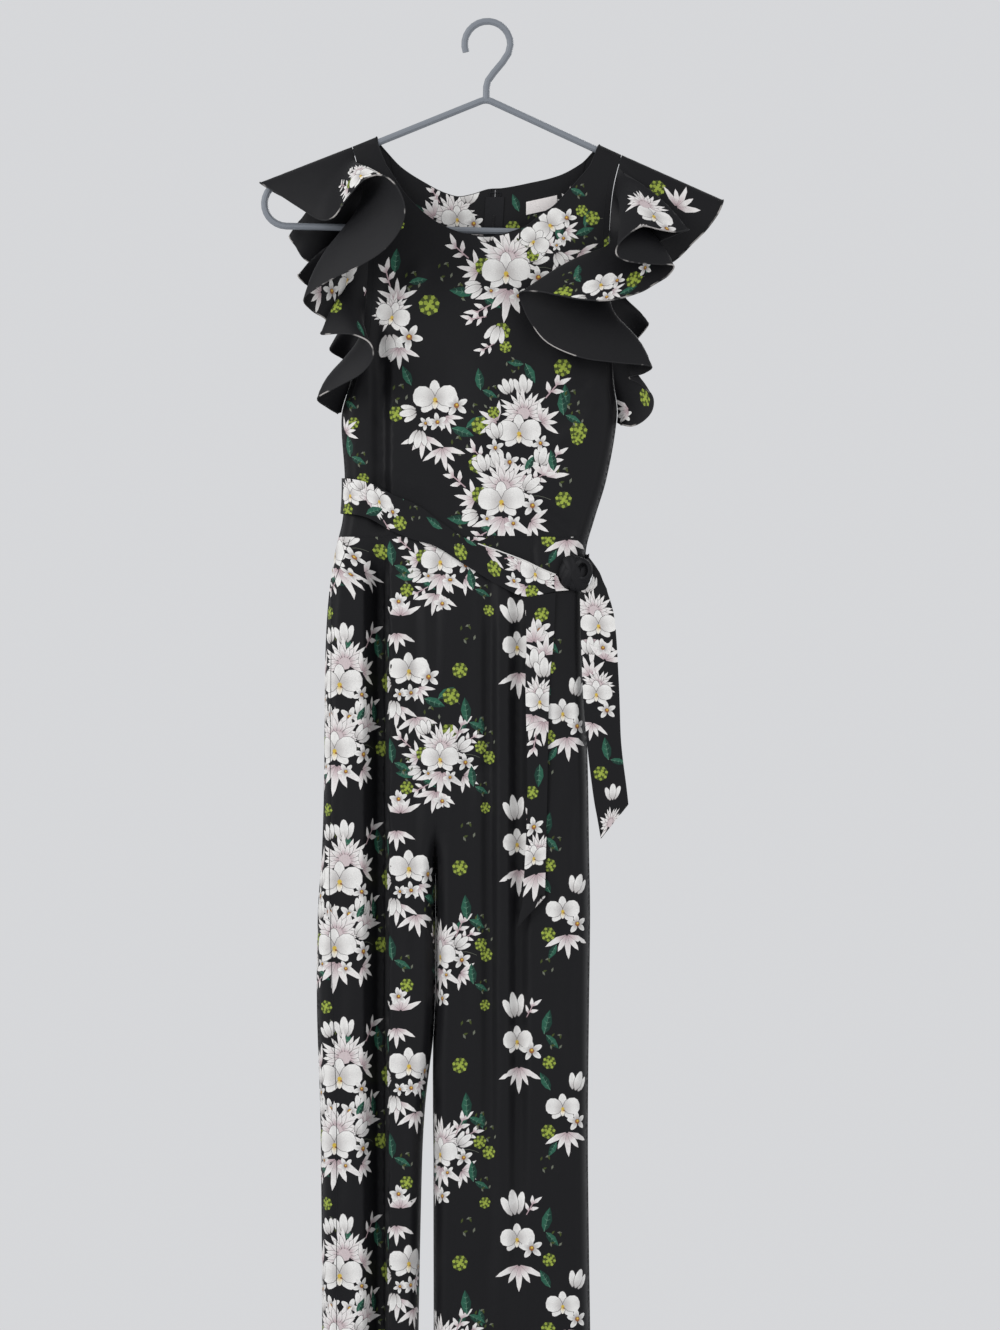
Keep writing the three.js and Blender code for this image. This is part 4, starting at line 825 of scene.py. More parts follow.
def cloth_mesh(name, chart, marks, thickness=CLOTH):
    """A thin closed sheet on the chart, cut along the outlines of its print, with the print's colours."""
    border = anticlockwise(chart.border())
    low, high = border.min(axis=0), border.max(axis=0)
    points = [tuple(p) for p in border]
    polygons = [list(range(len(border)))]
    shapes = [None]
    for item, x, drop, size, turn in marks:
        place = chart.place(x, drop)
        for shape in shapes_of(item, size, turn):
            spots = chart.to_chart(place, turned(shape["points"], place["turn"]))
            if (spots.max(axis=0) < low).any() or (spots.min(axis=0) > high).any():
                continue
            spots = anticlockwise(spots)
            start = len(points)
            points.extend((float(a), float(b)) for a, b in spots)
            polygons.append(list(range(start, start + len(spots))))
            shapes.append((shape, place))
            if shape["axis"] and shape["rib"]:
                x0, y0, angle, length, _ = shape["axis"]
                ahead = np.array([[math.cos(angle), math.sin(angle)]])
                rib = np.array([(x0, y0)]) + np.array([[0.3], [0.65]]) * length * ahead
                points.extend((float(a), float(b)) for a, b in chart.to_chart(place, turned(rib, place["turn"])))
    inner_points = [(float(a), float(b)) for a, b in chart.inner()]
    # a share across a strip is far smaller than a distance along it, so both are brought to one scale
    stretch = 60.0 if isinstance(chart, StripChart) else 1.0
    spots, kept, top, _ = triangles(points + inner_points, polygons, stretch)
    used = np.unique(kept)
    index = np.full(len(spots), -1)
    index[used] = np.arange(len(used))
    spots, kept = spots[used], index[kept]

    ink = np.tile(BLACK, (len(kept), 3, 1))
    order = np.argsort(top, kind="stable")
    starts = np.searchsorted(top[order], np.arange(len(shapes) + 1))
    for k in range(1, len(shapes)):
        chosen = order[starts[k]:starts[k + 1]]
        if not len(chosen):
            continue
        shape, place = shapes[k]
        if shape["axis"] is None:
            ink[chosen] = shape["inner"]
            continue
        corners = spots[kept[chosen].reshape(-1)]
        local = turned(chart.to_cloth(place, corners[:, 0], corners[:, 1]), -place["turn"])
        x0, y0, angle, length, width = shape["axis"]
        local = turned(local - (x0, y0), -angle)
        t = np.clip(local[:, 0] / length, 0, 1)
        off = np.clip(np.abs(local[:, 1]) / (width / 2), 0, 1)
        tone = np.clip(smooth(t * 1.5) * 0.75 + off * 0.35, 0, 1)[:, None]
        ink[chosen] = mix(shape["inner"], shape["outer"], tone).reshape(-1, 3, 3)

    # the inner side has no print, so its triangles are larger, on the same border
    rims = rim_edges(kept)
    after = dict(rims)
    first = rims[0][0]
    loop = [first]
    while after[loop[-1]] != first and len(loop) <= len(rims):
        loop.append(after[loop[-1]])
    loop_points = [tuple(float(v) for v in spots[i]) for i in loop]
    back_spots, back, _, origins = triangles(loop_points + inner_points, [list(range(len(loop)))], stretch)
    count = len(spots)
    partner = {}
    for new, olds in enumerate(origins):
        for old in olds:
            if old < len(loop):
                partner[loop[old]] = new + count

    normal = normals_of(chart, spots)
    back_normal = normals_of(chart, back_spots)
    outer_place = chart.surface(spots[:, 0], spots[:, 1])
    inner_place = chart.surface(back_spots[:, 0], back_spots[:, 1]) - back_normal * thickness
    rim_faces = []
    for i, j in rims:
        ring = (j, i, partner.get(i), partner.get(j)) if not chart.flip else (i, j, partner.get(j), partner.get(i))
        if None not in ring and ring[2] != ring[3]:
            rim_faces.append(ring)
    front = kept[:, ::-1] if chart.flip else kept
    ink_front = ink[:, ::-1] if chart.flip else ink
    back = (back if chart.flip else back[:, ::-1]) + count
    mesh = bpy.data.meshes.new(name)
    vertices = np.concatenate([outer_place, inner_place]) * MM
    mesh.from_pydata(vertices.tolist(), [], front.tolist() + back.tolist() + rim_faces)
    plain_corners = len(back) * 3 + len(rim_faces) * 4
    colours = np.concatenate([ink_front.reshape(-1, 3), np.tile(BLACK, (plain_corners, 1))])
    layer = mesh.color_attributes.new("ink", "FLOAT_COLOR", "CORNER")
    layer.data.foreach_set("color", np.concatenate([colours, np.ones((len(colours), 1))], axis=1).ravel())
    slots = np.concatenate([np.zeros(len(front)), np.ones(len(back) + len(rim_faces))]).astype(np.int32)
    mesh.polygons.foreach_set("material_index", slots)
    mesh.polygons.foreach_set("use_smooth", np.ones(len(mesh.polygons), dtype=bool))
    mesh.normals_split_custom_set_from_vertices(np.concatenate([normal, -back_normal]).tolist())
    mesh.update()
    obj = bpy.data.objects.new(name, mesh)
    bpy.context.collection.objects.link(obj)
    mesh.materials.append(MATERIALS["print"])
    mesh.materials.append(MATERIALS["reverse"])
    print("cloth", name, len(front), len(back), len(shapes))
    return obj


def normals_of(chart, spots):
    """Unit normals on the printed side, by differences over the chart."""
    strip = isinstance(chart, StripChart)
    dp, dq = (1.2, 0.012) if strip else (0.6, 0.8)
    p, q = spots[:, 0], spots[:, 1]
    if strip:
        p0, p1 = np.clip(p - dp, 0, chart.total), np.clip(p + dp, 0, chart.total)
        q0, q1 = np.clip(q - dq, 0, 1), np.clip(q + dq, 0, 1)
    else:
        low, high = left_edge(q) + 0.05, right_edge(q) - 0.05
        p0, p1 = np.clip(p - dp, low - 0.02, high), np.clip(p + dp, low, high + 0.02)
        q0, q1 = q - dq, q + dq
    along = chart.surface(p1, q) - chart.surface(p0, q)
    across = chart.surface(p, q1) - chart.surface(p, q0)
    normal = np.cross(along, across) * (-1.0 if chart.flip else 1.0)
    length = np.linalg.norm(normal, axis=1, keepdims=True)
    normal = normal / np.maximum(length, 1e-9)
    if not strip:
        bad = length[:, 0] < 1e-6
        normal[bad] = (0, chart.side, 0)
        closed = q > UNDERARM_LEFT
        at_edge = closed & (np.minimum(p - left_edge(q), right_edge(q) - p) < 0.4)
        hand = np.where(p < 0, -1.0, 1.0)
        normal[at_edge, 0] = hand[at_edge] * 0.8
        normal[at_edge, 1] = chart.side * 0.6
        normal[at_edge, 2] = 0.0
    return normal


# Materials

def new_material(name):
    material = bpy.data.materials.new(name)
    material.use_nodes = True
    nodes = material.node_tree.nodes
    return material, nodes, material.node_tree.links, nodes["Principled BSDF"]


def crepe_bump(nodes, links, shader, strength):
    """The crepe's fine pebbled weave, as height."""
    where = nodes.new("ShaderNodeTexCoord")
    grain = nodes.new("ShaderNodeTexNoise")
    grain.inputs["Scale"].default_value = 1500.0
    grain.inputs["Detail"].default_value = 2.0
    links.new(where.outputs["Object"], grain.inputs["Vector"])
    soft = nodes.new("ShaderNodeTexNoise")
    soft.inputs["Scale"].default_value = 60.0
    soft.inputs["Detail"].default_value = 3.0
    links.new(where.outputs["Object"], soft.inputs["Vector"])
    first = nodes.new("ShaderNodeBump")
    first.inputs["Strength"].default_value = strength
    first.inputs["Distance"].default_value = 0.00025
    links.new(grain.outputs["Fac"], first.inputs["Height"])
    second = nodes.new("ShaderNodeBump")
    second.inputs["Strength"].default_value = 0.35
    second.inputs["Distance"].default_value = 0.0012
    links.new(soft.outputs["Fac"], second.inputs["Height"])
    links.new(first.outputs["Normal"], second.inputs["Normal"])
    links.new(second.outputs["Normal"], shader.inputs["Normal"])
    return grain


def make_print():
    material, nodes, links, shader = new_material("crepe_print")
    ink = nodes.new("ShaderNodeVertexColor")
    ink.layer_name = "ink"
    grain = crepe_bump(nodes, links, shader, 0.4)
    fleck = nodes.new("ShaderNodeMapRange")
    fleck.inputs["From Min"].default_value = 0.3
    fleck.inputs["From Max"].default_value = 0.7
    fleck.inputs["To Min"].default_value = 0.86
    fleck.inputs["To Max"].default_value = 1.08
    links.new(grain.outputs["Fac"], fleck.inputs["Value"])
    tint = nodes.new("ShaderNodeVectorMath")
    tint.operation = "SCALE"
    links.new(ink.outputs["Color"], tint.inputs[0])
    links.new(fleck.outputs["Result"], tint.inputs["Scale"])
    links.new(tint.outputs["Vector"], shader.inputs["Base Color"])
    shader.inputs["Roughness"].default_value = 0.58
    shader.inputs["Specular IOR Level"].default_value = 0.2
    shader.inputs["Sheen Weight"].default_value = 0.04
    shader.inputs["Sheen Roughness"].default_value = 0.4
    return material


def make_plain(name, colour, roughness, specular=0.28, bump=0.4):
    material, nodes, links, shader = new_material(name)
    grain = crepe_bump(nodes, links, shader, bump)
    ramp = nodes.new("ShaderNodeValToRGB")
    ramp.color_ramp.elements[0].position = 0.3
    ramp.color_ramp.elements[1].position = 0.7
    ramp.color_ramp.elements[0].color = (*(np.array(colour) * 0.85), 1)
    ramp.color_ramp.elements[1].color = (*(np.array(colour) * 1.12), 1)
    links.new(grain.outputs["Fac"], ramp.inputs["Fac"])
    links.new(ramp.outputs["Color"], shader.inputs["Base Color"])
    shader.inputs["Roughness"].default_value = roughness
    shader.inputs["Specular IOR Level"].default_value = specular
    return material


def make_edge():
    """Rolled hems: black, with the print's white coming over in short stretches."""
    material, nodes, links, shader = new_material("rolled_hem")
    where = nodes.new("ShaderNodeTexCoord")
    noise = nodes.new("ShaderNodeTexNoise")
    noise.inputs["Scale"].default_value = 42.0
    noise.inputs["Detail"].default_value = 3.0
    links.new(where.outputs["Object"], noise.inputs["Vector"])
    ramp = nodes.new("ShaderNodeValToRGB")
    ramp.color_ramp.elements[0].position = 0.53
    ramp.color_ramp.elements[1].position = 0.6
    ramp.color_ramp.elements[0].color = (*BLACK, 1)
    ramp.color_ramp.elements[1].color = (*shade(160, 156, 153), 1)
    links.new(noise.outputs["Fac"], ramp.inputs["Fac"])
    links.new(ramp.outputs["Color"], shader.inputs["Base Color"])
    shader.inputs["Roughness"].default_value = 0.8
    return material


def make_hard(name, colour, roughness, metallic, scale=260.0, bump=0.06):
    material, nodes, links, shader = new_material(name)
    where = nodes.new("ShaderNodeTexCoord")
    noise = nodes.new("ShaderNodeTexNoise")
    noise.inputs["Scale"].default_value = scale
    noise.inputs["Detail"].default_value = 4.0
    links.new(where.outputs["Object"], noise.inputs["Vector"])
    wear = nodes.new("ShaderNodeMapRange")
    wear.inputs["To Min"].default_value = roughness * 0.8
    wear.inputs["To Max"].default_value = min(1.0, roughness * 1.25)
    links.new(noise.outputs["Fac"], wear.inputs["Value"])
    links.new(wear.outputs["Result"], shader.inputs["Roughness"])
    rise = nodes.new("ShaderNodeBump")
    rise.inputs["Strength"].default_value = bump
    rise.inputs["Distance"].default_value = 0.0005
    links.new(noise.outputs["Fac"], rise.inputs["Height"])
    links.new(rise.outputs["Normal"], shader.inputs["Normal"])
    shader.inputs["Base Color"].default_value = (*colour, 1)
    shader.inputs["Metallic"].default_value = metallic
    return material


MATERIALS = {
    "print": make_print(),
    "reverse": make_plain("crepe_reverse", shade(15, 15, 18), 0.6, 0.24),
    "edge": make_edge(),
    "thread": make_plain("thread", shade(20, 20, 23), 0.7),
    # painted highlight: a near-white colour standing in for the light caught along the belt's top edge
    "lit": make_plain("belt_edge_painted_highlight", shade(214, 212, 209), 0.7, 0.15, 0.3),
    "tape": make_plain("zip_tape_weave", shade(22, 22, 25), 0.8),
    "label": make_plain("label_satin_weave", shade(228, 222, 220), 0.55, 0.4, 0.2),
    "plastic": make_hard("hanger_grey", shade(118, 123, 130), 0.42, 0.0),
    "metal": make_hard("black_metal", shade(40, 40, 44), 0.35, 0.7),
    "coil": make_hard("nylon_coil", shade(24, 24, 27), 0.4, 0.0),
}


def garment_piece(obj):
    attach(obj, "garment")
    return obj


def tube(name, points, radius, material, cyclic=False):
    """A thin round cord along points in millimetres."""
    curve = bpy.data.curves.new(name, "CURVE")
    curve.dimensions = "3D"
    curve.bevel_depth = radius * MM
    curve.bevel_resolution = 2
    line = curve.splines.new("POLY")
    line.points.add(len(points) - 1)
    for spot, p in zip(line.points, points):
        spot.co = (p[0] * MM, p[1] * MM, p[2] * MM, 1)
    line.use_cyclic_u = cyclic
    obj = bpy.data.objects.new(name, curve)
    bpy.context.collection.objects.link(obj)
    curve.materials.append(material)
    return garment_piece(obj)


# Panels

def middle_left(drop):
    return centre_line(drop) - leg_gap(drop)


def middle_right(drop):
    return centre_line(drop) + leg_gap(drop)


def zip_left(drop):
    return centre_line(drop) - SEAM / 2


def zip_right(drop):
    return centre_line(drop) + SEAM / 2


ZIP_SHARE = float((centre_line(160) - left_edge(160)) / (right_edge(160) - left_edge(160)))


def sheet_area(chart):
    """Flat area of a panel's cut, in square metres."""
    drops = np.arange(chart.top.lowest(), chart.bottom, 2.0)
    total = 0.0
    for drop in drops:
        edges = chart.cloth(np.array([chart.left(drop), chart.right(drop)]), np.array([drop, drop]))[0]
        if isinstance(chart.top, NeckTop):
            x = np.linspace(float(chart.left(drop)), float(chart.right(drop)), 60)
            total += (edges[1] - edges[0]) * 2.0 * float(np.mean(chart.top.at(x) <= drop))
        else:
            total += (edges[1] - edges[0]) * 2.0
    return total * 1e-6


def panel(name, chart, marks, flat):
    obj = cloth_mesh(name, chart, marks)
    garment_piece(obj)
    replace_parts(obj, name.replace("cloth_", ""))
    area = min(sheet_area(chart), 0.999 * flat[0] * flat[1])
    return obj


def repeated(marks, first, last):
    """The marks of one repeat, again at each repeat from first to last."""
    found = []
    for k in range(first, last + 1):
        for item, x, drop, size, turn in marks:
            found.append((item, x, drop + k * LEG_REPEAT, size, turn))
    return found


def mirrored_back(marks, shift, middle):
    """The front's marks seen from behind, turned over about an upright line and moved down by shift."""
    return [(item, 2 * middle - x, drop + shift, size, turn) for item, x, drop, size, turn in marks]


bodice_top = WAIST - SEAM / 2
front_chart = PanelChart(-1, left_edge, right_edge, NeckTop(FRONT_NECK, 0.0, 1.0, -1), bodice_top)
panel("cloth_bodice_front", front_chart, BODICE_PRINT, (0.30, 0.40))

back_marks = mirrored_back(BODICE_PRINT, 26, BODICE_MIDDLE)
left_back = PanelChart(1, left_edge, zip_left, NeckTop(BACK_NECK, 0.0, ZIP_SHARE, 1), bodice_top)
panel("cloth_bodice_back_left", left_back, back_marks, (0.17, 0.40))
right_back = PanelChart(1, zip_right, right_edge, NeckTop(BACK_NECK, ZIP_SHARE, 1.0, 1), bodice_top)
panel("cloth_bodice_back_right", right_back, back_marks, (0.17, 0.40))



class FacingChart(PanelChart):
    """A strip of the printed cloth sewn inside the back neck, its printed side to the front."""

    def surface(self, p, q):
        spots = super().surface(p, q)
        spots[:, 1] -= FACING_BACK
        return spots

    flip = property(lambda self: True)


FACING_BACK = 1.6
FACING_CLOTH = 0.5
FACING_SHARES = (0.13, 0.87)
FACING_BOTTOM = 226.0
FACING_PRINT = [
    (fan, -34, 184, 50, 0), (orchid, -30, 188, 30, 0), (lily, -52, 186, 24, 60), (small_orchid, -14, 192, 20, 0),
    (spray, -48, 170, 22, 30), (bud, -20, 172, 20, -10), (lily, -4, 196, 22, 190), (leaf, -62, 180, 18, 70),
    (rosette, -66, 196, 14, 0), (lily, -28, 208, 24, 180), (leaf, 30, 180, 18, 20), (rosette, 24, 196, 14, 0),
    (lily, 80, 176, 20, 0), (sprig, 44, 190, 18, 0), (orchid, 84, 184, 26, 0),
]


def facing_left(drop):
    return mix(left_edge(drop), right_edge(drop), FACING_SHARES[0])


def facing_right(drop):
    return mix(left_edge(drop), right_edge(drop), FACING_SHARES[1])


def by_zip_left(drop):
    return centre_line(drop) - 4


def by_zip_right(drop):
    return centre_line(drop) + 4


ZIP_WIDE = 4 / float(right_edge(160) - left_edge(160))
for name, left, right, low, high in (
    ("facing_left", facing_left, by_zip_left, FACING_SHARES[0], ZIP_SHARE - ZIP_WIDE),
    ("facing_right", by_zip_right, facing_right, ZIP_SHARE + ZIP_WIDE, FACING_SHARES[1]),
):
    chart = FacingChart(1, left, right, NeckTop(BACK_NECK, low, high, 1), FACING_BOTTOM)
    facing = garment_piece(cloth_mesh(name, chart, FACING_PRINT, FACING_CLOTH))
    sheet_area(chart)

leg_marks = repeated(LEG_PRINT, -1, 4)
for name, side, left, right in (
    ("cloth_leg_front_left", -1, left_edge, middle_left), ("cloth_leg_front_right", -1, middle_right, right_edge),
    ("cloth_leg_back_left", 1, left_edge, middle_left), ("cloth_leg_back_right", 1, middle_right, right_edge),
):
    marks = leg_marks if side < 0 else mirrored_back(leg_marks, 60, LEGS_MIDDLE)
    chart = PanelChart(side, left, right, LegTop(left, right), HEM, -75.0 if "left" in name else 40.0)
    panel(name, chart, marks, (0.24, 0.95))


# Ruffles

def armhole_point(hand, seam):
    side = 1 if seam < 0 else -1
    edge = left_edge if hand < 0 else right_edge
    shoulder = 116.0
    for _ in range(4):
        shoulder = float(shoulder_drop(edge(shoulder)))
    underarm = UNDERARM_LEFT if hand < 0 else UNDERARM_RIGHT
    drop = mix(shoulder, underarm + 1, abs(seam))
    x = float(edge(drop))
    y = 0.0 if seam == 0 else float(surface_y(side, np.array([x - hand * 0.01]), np.array([drop]))[0])
    return np.array([x + hand * RUFFLE_GAP, y, -drop])


def ruffle_rows(hand, table, finer=5):
    """Rows of points from the armhole to the free edge, with smooth rows between the table's own."""
    count = (len(table) - 1) * finer + 1
    keyed = np.concatenate([np.arange(len(table))[:, None].astype(float), table], axis=1)
    rows = []
    for k in range(count):
        at = k / finer
        seam, x, drop, front, bow = (float(column(keyed, c, at)) for c in range(1, 6))
        seam = float(np.interp(at, np.arange(len(table)), table[:, 0]))
        base = armhole_point(hand, seam)
        edge = np.array([x, -front, -drop])
        line = []
        for r in np.linspace(0, 1, 17):
            rise = 4 * r * (1 - r) * max(0.0, bow)
            side = -np.clip(front / 6, -1, 1)
            line.append(mix(base, edge, r) + np.array([hand * rise * 0.6, side * rise * 0.3, rise * 0.8]))
        rows.append(line)
    return np.array(rows)


LEFT_RUFFLE_PRINT = [
    (GREAT, -125, 150, 0.8, 20), (orchid, -136, 250, 30, 0), (small_orchid, -150, 262, 20, 0), (fan, -140, 236, 30, 0),
    (lily, -160, 262, 20, 90), (leaf, -144, 246, 16, 60), (rosette, -140, 214, 17, 0), (sprig, -128, 212, 18, 0),
    (rosette, -147, 275, 15, 0), (leaf, -122, 288, 16, 200), (lily, -154, 345, 18, 90), (orchid, -160, 350, 18, 0),
    (fan, -176, 250, 24, 60), (spray, -118, 262, 16, -30), (rosette, -72, 152, 14, 0),
]
RIGHT_RUFFLE_PRINT = [
    (orchid, 160, 190, 34, 0), (fan, 152, 176, 44, 0), (rosette, 164, 160, 16, 0), (small_orchid, 170, 204, 20, 0),
    (lily, 182, 176, 24, -40), (bud, 150, 204, 20, 180), (SINGLE, 110, 256, 0.85, 10), (rosette, 140, 250, 16, 0),
    (leaf, 152, 244, 16, -20), (leaf, 86, 246, 16, 0), (rosette, 74, 264, 16, 0), (sprig, 78, 250, 16, 0),
    (rosette, 110, 292, 17, 0), (sprig, 128, 292, 18, 0), (leaf, 132, 286, 18, -60), (rosette, 150, 364, 15, 0),
    (small_orchid, 132, 380, 16, 0), (lily, 136, 374, 18, 100), (small_orchid, 150, 240, 16, 0),
]


def declare_strip(rows, length):
    """Works out the strip's widest place and the area between its edges, held below its width times its length; the
    results are not kept.
    """
    wide = float(np.max(np.sum(np.linalg.norm(np.diff(rows, axis=1), axis=2), axis=1))) * MM
    along, across = rows[1:, :-1] - rows[:-1, :-1], rows[:-1, 1:] - rows[:-1, :-1]
    far_along, far_across = rows[1:, 1:] - rows[:-1, 1:], rows[1:, 1:] - rows[1:, :-1]
    near_half = np.linalg.norm(np.cross(along, across), axis=2) / 2
    far_half = np.linalg.norm(np.cross(far_along, far_across), axis=2) / 2
    area = float(np.sum(near_half + far_half)) * MM * MM
    area = min(area, 0.999 * wide * length)


for name, hand, table, marks in (
    ("ruffle_left", -1, LEFT_RUFFLE, LEFT_RUFFLE_PRINT), ("ruffle_right", 1, RIGHT_RUFFLE, RIGHT_RUFFLE_PRINT),
):
    rows = ruffle_rows(hand, table)
    chart = StripChart(rows, flip=hand < 0, step=(3.5, 0.06))
    # the sheet's outer face lies on the rows, its inner face a thickness behind them
    ruffle = cloth_mesh("cloth_" + name, chart, marks, 0.7)
    garment_piece(ruffle)
    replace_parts(ruffle, name)
    hem = tube("hem_" + name, rows[:, -1], 0.75, MATERIALS["edge"])
    length = float(np.sum(np.linalg.norm(np.diff(rows[:, 9], axis=0), axis=1))) * MM
    declare_strip(rows, length)


# Belt

def belt_rows(side, table, shares, across=9):
    rows = []
    for share in shares:
        line = []
        for v in np.linspace(0, 1, across):
            drop = float(mix(column(table, 1, share), column(table, 2, share), v))
            x = float(mix(left_edge(drop), right_edge(drop), share))
            ends = min(share, 1 - share)
            out = BELT_OFF * (1 - float(smooth(ends / 0.05)))
            y = float(surface_y(side, np.array([x]), np.array([drop]), False)[0])
            y += side * BELT_OFF * float(smooth(ends / 0.02))
            puff = 0.9 * math.sin(math.pi * v) + 0.5 * math.sin(2 * math.pi * v + 9 * share)
            y += side * puff * float(smooth(ends / 0.1))
            y = min(y, -SEAM / 2) if side < 0 else max(y, SEAM / 2)
            line.append((x + (-out if share < 0.5 else out), y, -drop))
        rows.append(line)
    return np.array(rows)


def tail_rows(table, count=60, across=9):
    keys = np.concatenate([np.arange(len(table))[:, None].astype(float), table], axis=1)
    rows = []
    for at in np.linspace(0, len(table) - 1, count):
        drop0, rise, left, right = (float(column(keys, c, at)) for c in range(1, 5))
        line = []
        for v in np.linspace(0, 1, across):
            x = mix(left, right, v)
            drop = drop0 - rise * v
            over = min(x, float(right_edge(drop)) - SIDE_ROUND)
            y = float(surface_y(-1, np.array([over]), np.array([drop]), False)[0]) - TAIL_OFF
            y -= 1.2 * math.sin(math.pi * v) * math.sin(drop / 60) ** 2
            line.append((x, y, -drop))
        rows.append(line)
    return np.array(rows)


BELT_PRINT = [
    (fan, -132, 454, 34, 0), (orchid, -134, 458, 28, 0), (rosette, -139, 472, 14, 0), (lily, -118, 460, 24, -60),
    (fan, -112, 464, 34, -30), (orchid, -106, 464, 26, 0), (leaf, -118, 476, 20, -60), (spray, -98, 484, 26, -140),
    (bud, -120, 452, 16, 40), (small_orchid, -92, 474, 16, 0), (rosette, -86, 484, 14, 0),
    (leaf, -82, 462, 16, 8), (sprig, -70, 474, 16, 0), (leaf, -44, 490, 18, 70), (sprig, -30, 500, 16, 0),
    (rosette, -26, 512, 15, 0), (leaf, -10, 506, 18, 60), (lily, 0, 512, 20, -60), (rosette, 6, 528, 15, 0),
    (fan, 30, 528, 34, 0), (fan, 50, 538, 36, -20), (lily, 36, 544, 22, 170), (orchid, 46, 534, 30, 0),
    (rosette, 42, 550, 13, 0), (lily, 62, 540, 22, -90), (spray, 18, 518, 22, -70), (small_orchid, 26, 540, 16, 0),
]
TAIL_PRINT = [
    (bud, 96, 552, 18, 10), (fan, 102, 570, 42, 0), (lily, 100, 596, 26, 180), (orchid, 106, 584, 34, 0),
    (bud, 98, 610, 18, 0), (lily, 112, 616, 22, -20), (lily, 98, 632, 20, 20),
    (small_orchid, 110, 606, 18, 0), (fan, 106, 640, 34, 0), (orchid, 104, 648, 30, 0), (small_orchid, 114, 664, 18, 0),
    (lily, 100, 676, 18, 170), (leaf, 116, 712, 22, 10), (leaf, 118, 712, 16, -100), (rosette, 108, 726, 14, 0),
    (bud, 120, 750, 16, 0), (fan, 122, 776, 30, 0),
]
INNER_PRINT = [
    (rosette, 52, 572, 14, 0), (small_orchid, 50, 588, 22, 0), (lily, 44, 600, 24, 0), (lily, 54, 612, 22, -10),
    (bud, 44, 622, 20, 0), (bud, 54, 634, 20, 0), (fan, 48, 650, 40, 0), (orchid, 50, 656, 30, 0),
    (lily, 44, 668, 26, 170), (lily, 54, 676, 24, 180), (spray, 46, 688, 24, 170), (leaf, 50, 716, 22, 176),
    (rosette, 42, 744, 13, 0), (small_orchid, 44, 776, 20, 0), (fan, 48, 800, 38, 0), (orchid, 44, 806, 28, 0),
    (lily, 46, 820, 28, 176), (bud, 50, 846, 20, 180),
]

front_shares = np.concatenate([[0, 0.004, 0.015, 0.03, 0.055], np.linspace(0.08, 0.9, 50)])
belt_front_rows = belt_rows(-1, BELT_FRONT, front_shares)
knot_plane = float(surface_y(-1, np.array([KNOT["x"] - 10]), np.array([KNOT["drop"]]), False)[0]) - BELT_OFF
for spot in belt_front_rows[-1]:
    high = min(1.0, abs(-spot[2] - KNOT["drop"]) / KNOT["half_tall"])
    spot[0] = KNOT["x"] - KNOT["half_wide"] * math.sqrt(1 - high * high) - SEAM - 0.5
    spot[1] = knot_plane

back_shares = np.concatenate([[0, 0.004, 0.015, 0.03, 0.055], np.linspace(0.1, 0.94, 40), [0.955, 0.97, 0.985, 0.996, 1]])
belt_back_rows = belt_rows(1, BELT_BACK, back_shares)
last = belt_back_rows[-1]
round_side = [np.stack([last[:, 0], np.full(len(last), y), last[:, 2]], axis=-1) for y in (-9.0, -21.0, knot_plane + 1.5)]
belt_back_rows = np.concatenate([belt_back_rows, np.array(round_side)])

for name, rows, marks, flip in (
    ("belt_front", belt_front_rows, BELT_PRINT, True), ("belt_back", belt_back_rows, BELT_PRINT, False),
    ("belt_tail_outer", tail_rows(OUTER_TAIL), TAIL_PRINT, False),
    ("belt_tail_inner", tail_rows(INNER_TAIL), INNER_PRINT, False),
):
    chart = StripChart(rows, flip=flip, step=(4.0, 0.12), mean_share=0.5)
    strip = cloth_mesh("cloth_" + name, chart, marks, 1.0)
    garment_piece(strip)
    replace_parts(strip, name)
    declare_strip(rows, chart.total * MM)


# A thin pale cord along the belt's upper edge: painted highlight where the rolled edge catches the light
lit_edge = belt_front_rows[belt_front_rows[:, 0, 0] > -12][:-1, 0]
tube("belt_edge", lit_edge + np.array([0, -0.5, 0.3]), 0.6, MATERIALS["lit"])


def knot_mesh():
    """The wound cloth of the knot, with folds that turn round it."""
    sides, rings = 72, 48
    vertices, faces = [], []
    for i in range(rings + 1):
        polar = math.pi * i / rings
        for k in range(sides):
            turn = 2 * math.pi * k / sides
            p = np.array([math.sin(polar) * math.cos(turn), math.cos(polar), math.sin(polar) * math.sin(turn)])
            swirl = p[0] * 0.75 - p[2] * 0.65
            cross = p[0] * 0.5 + p[2] * 0.85
            fold = 0.07 * math.sin(9 * swirl + 1.5 * cross) + 0.16 * math.exp(-((swirl / 0.17) ** 2)) * max(0.0, -p[1])
            fold += 0.04 * math.sin(17 * swirl + 3 * cross)
            grow = 1 - max(0.0, fold)
            deep = KNOT["half_deep"] if p[1] < 0 else 1.5
            vertices.append((
                (KNOT["x"] + p[0] * KNOT["half_wide"] * grow) * MM, (knot_plane + p[1] * deep * grow) * MM,
                (-KNOT["drop"] + p[2] * KNOT["half_tall"] * grow) * MM,
            ))
    for i in range(rings):
        for k in range(sides):
            nxt = (k + 1) % sides
            faces.append((i * sides + k, i * sides + nxt, (i + 1) * sides + nxt, (i + 1) * sides + k))
    mesh = bpy.data.meshes.new("cloth_belt_knot")
    mesh.from_pydata(vertices, [], faces)
    mesh.polygons.foreach_set("use_smooth", np.ones(len(mesh.polygons), dtype=bool))
    obj = bpy.data.objects.new("cloth_belt_knot", mesh)
    bpy.context.collection.objects.link(obj)
    mesh.materials.append(MATERIALS["reverse"])
    return garment_piece(obj)


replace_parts(knot_mesh(), "belt_knot")

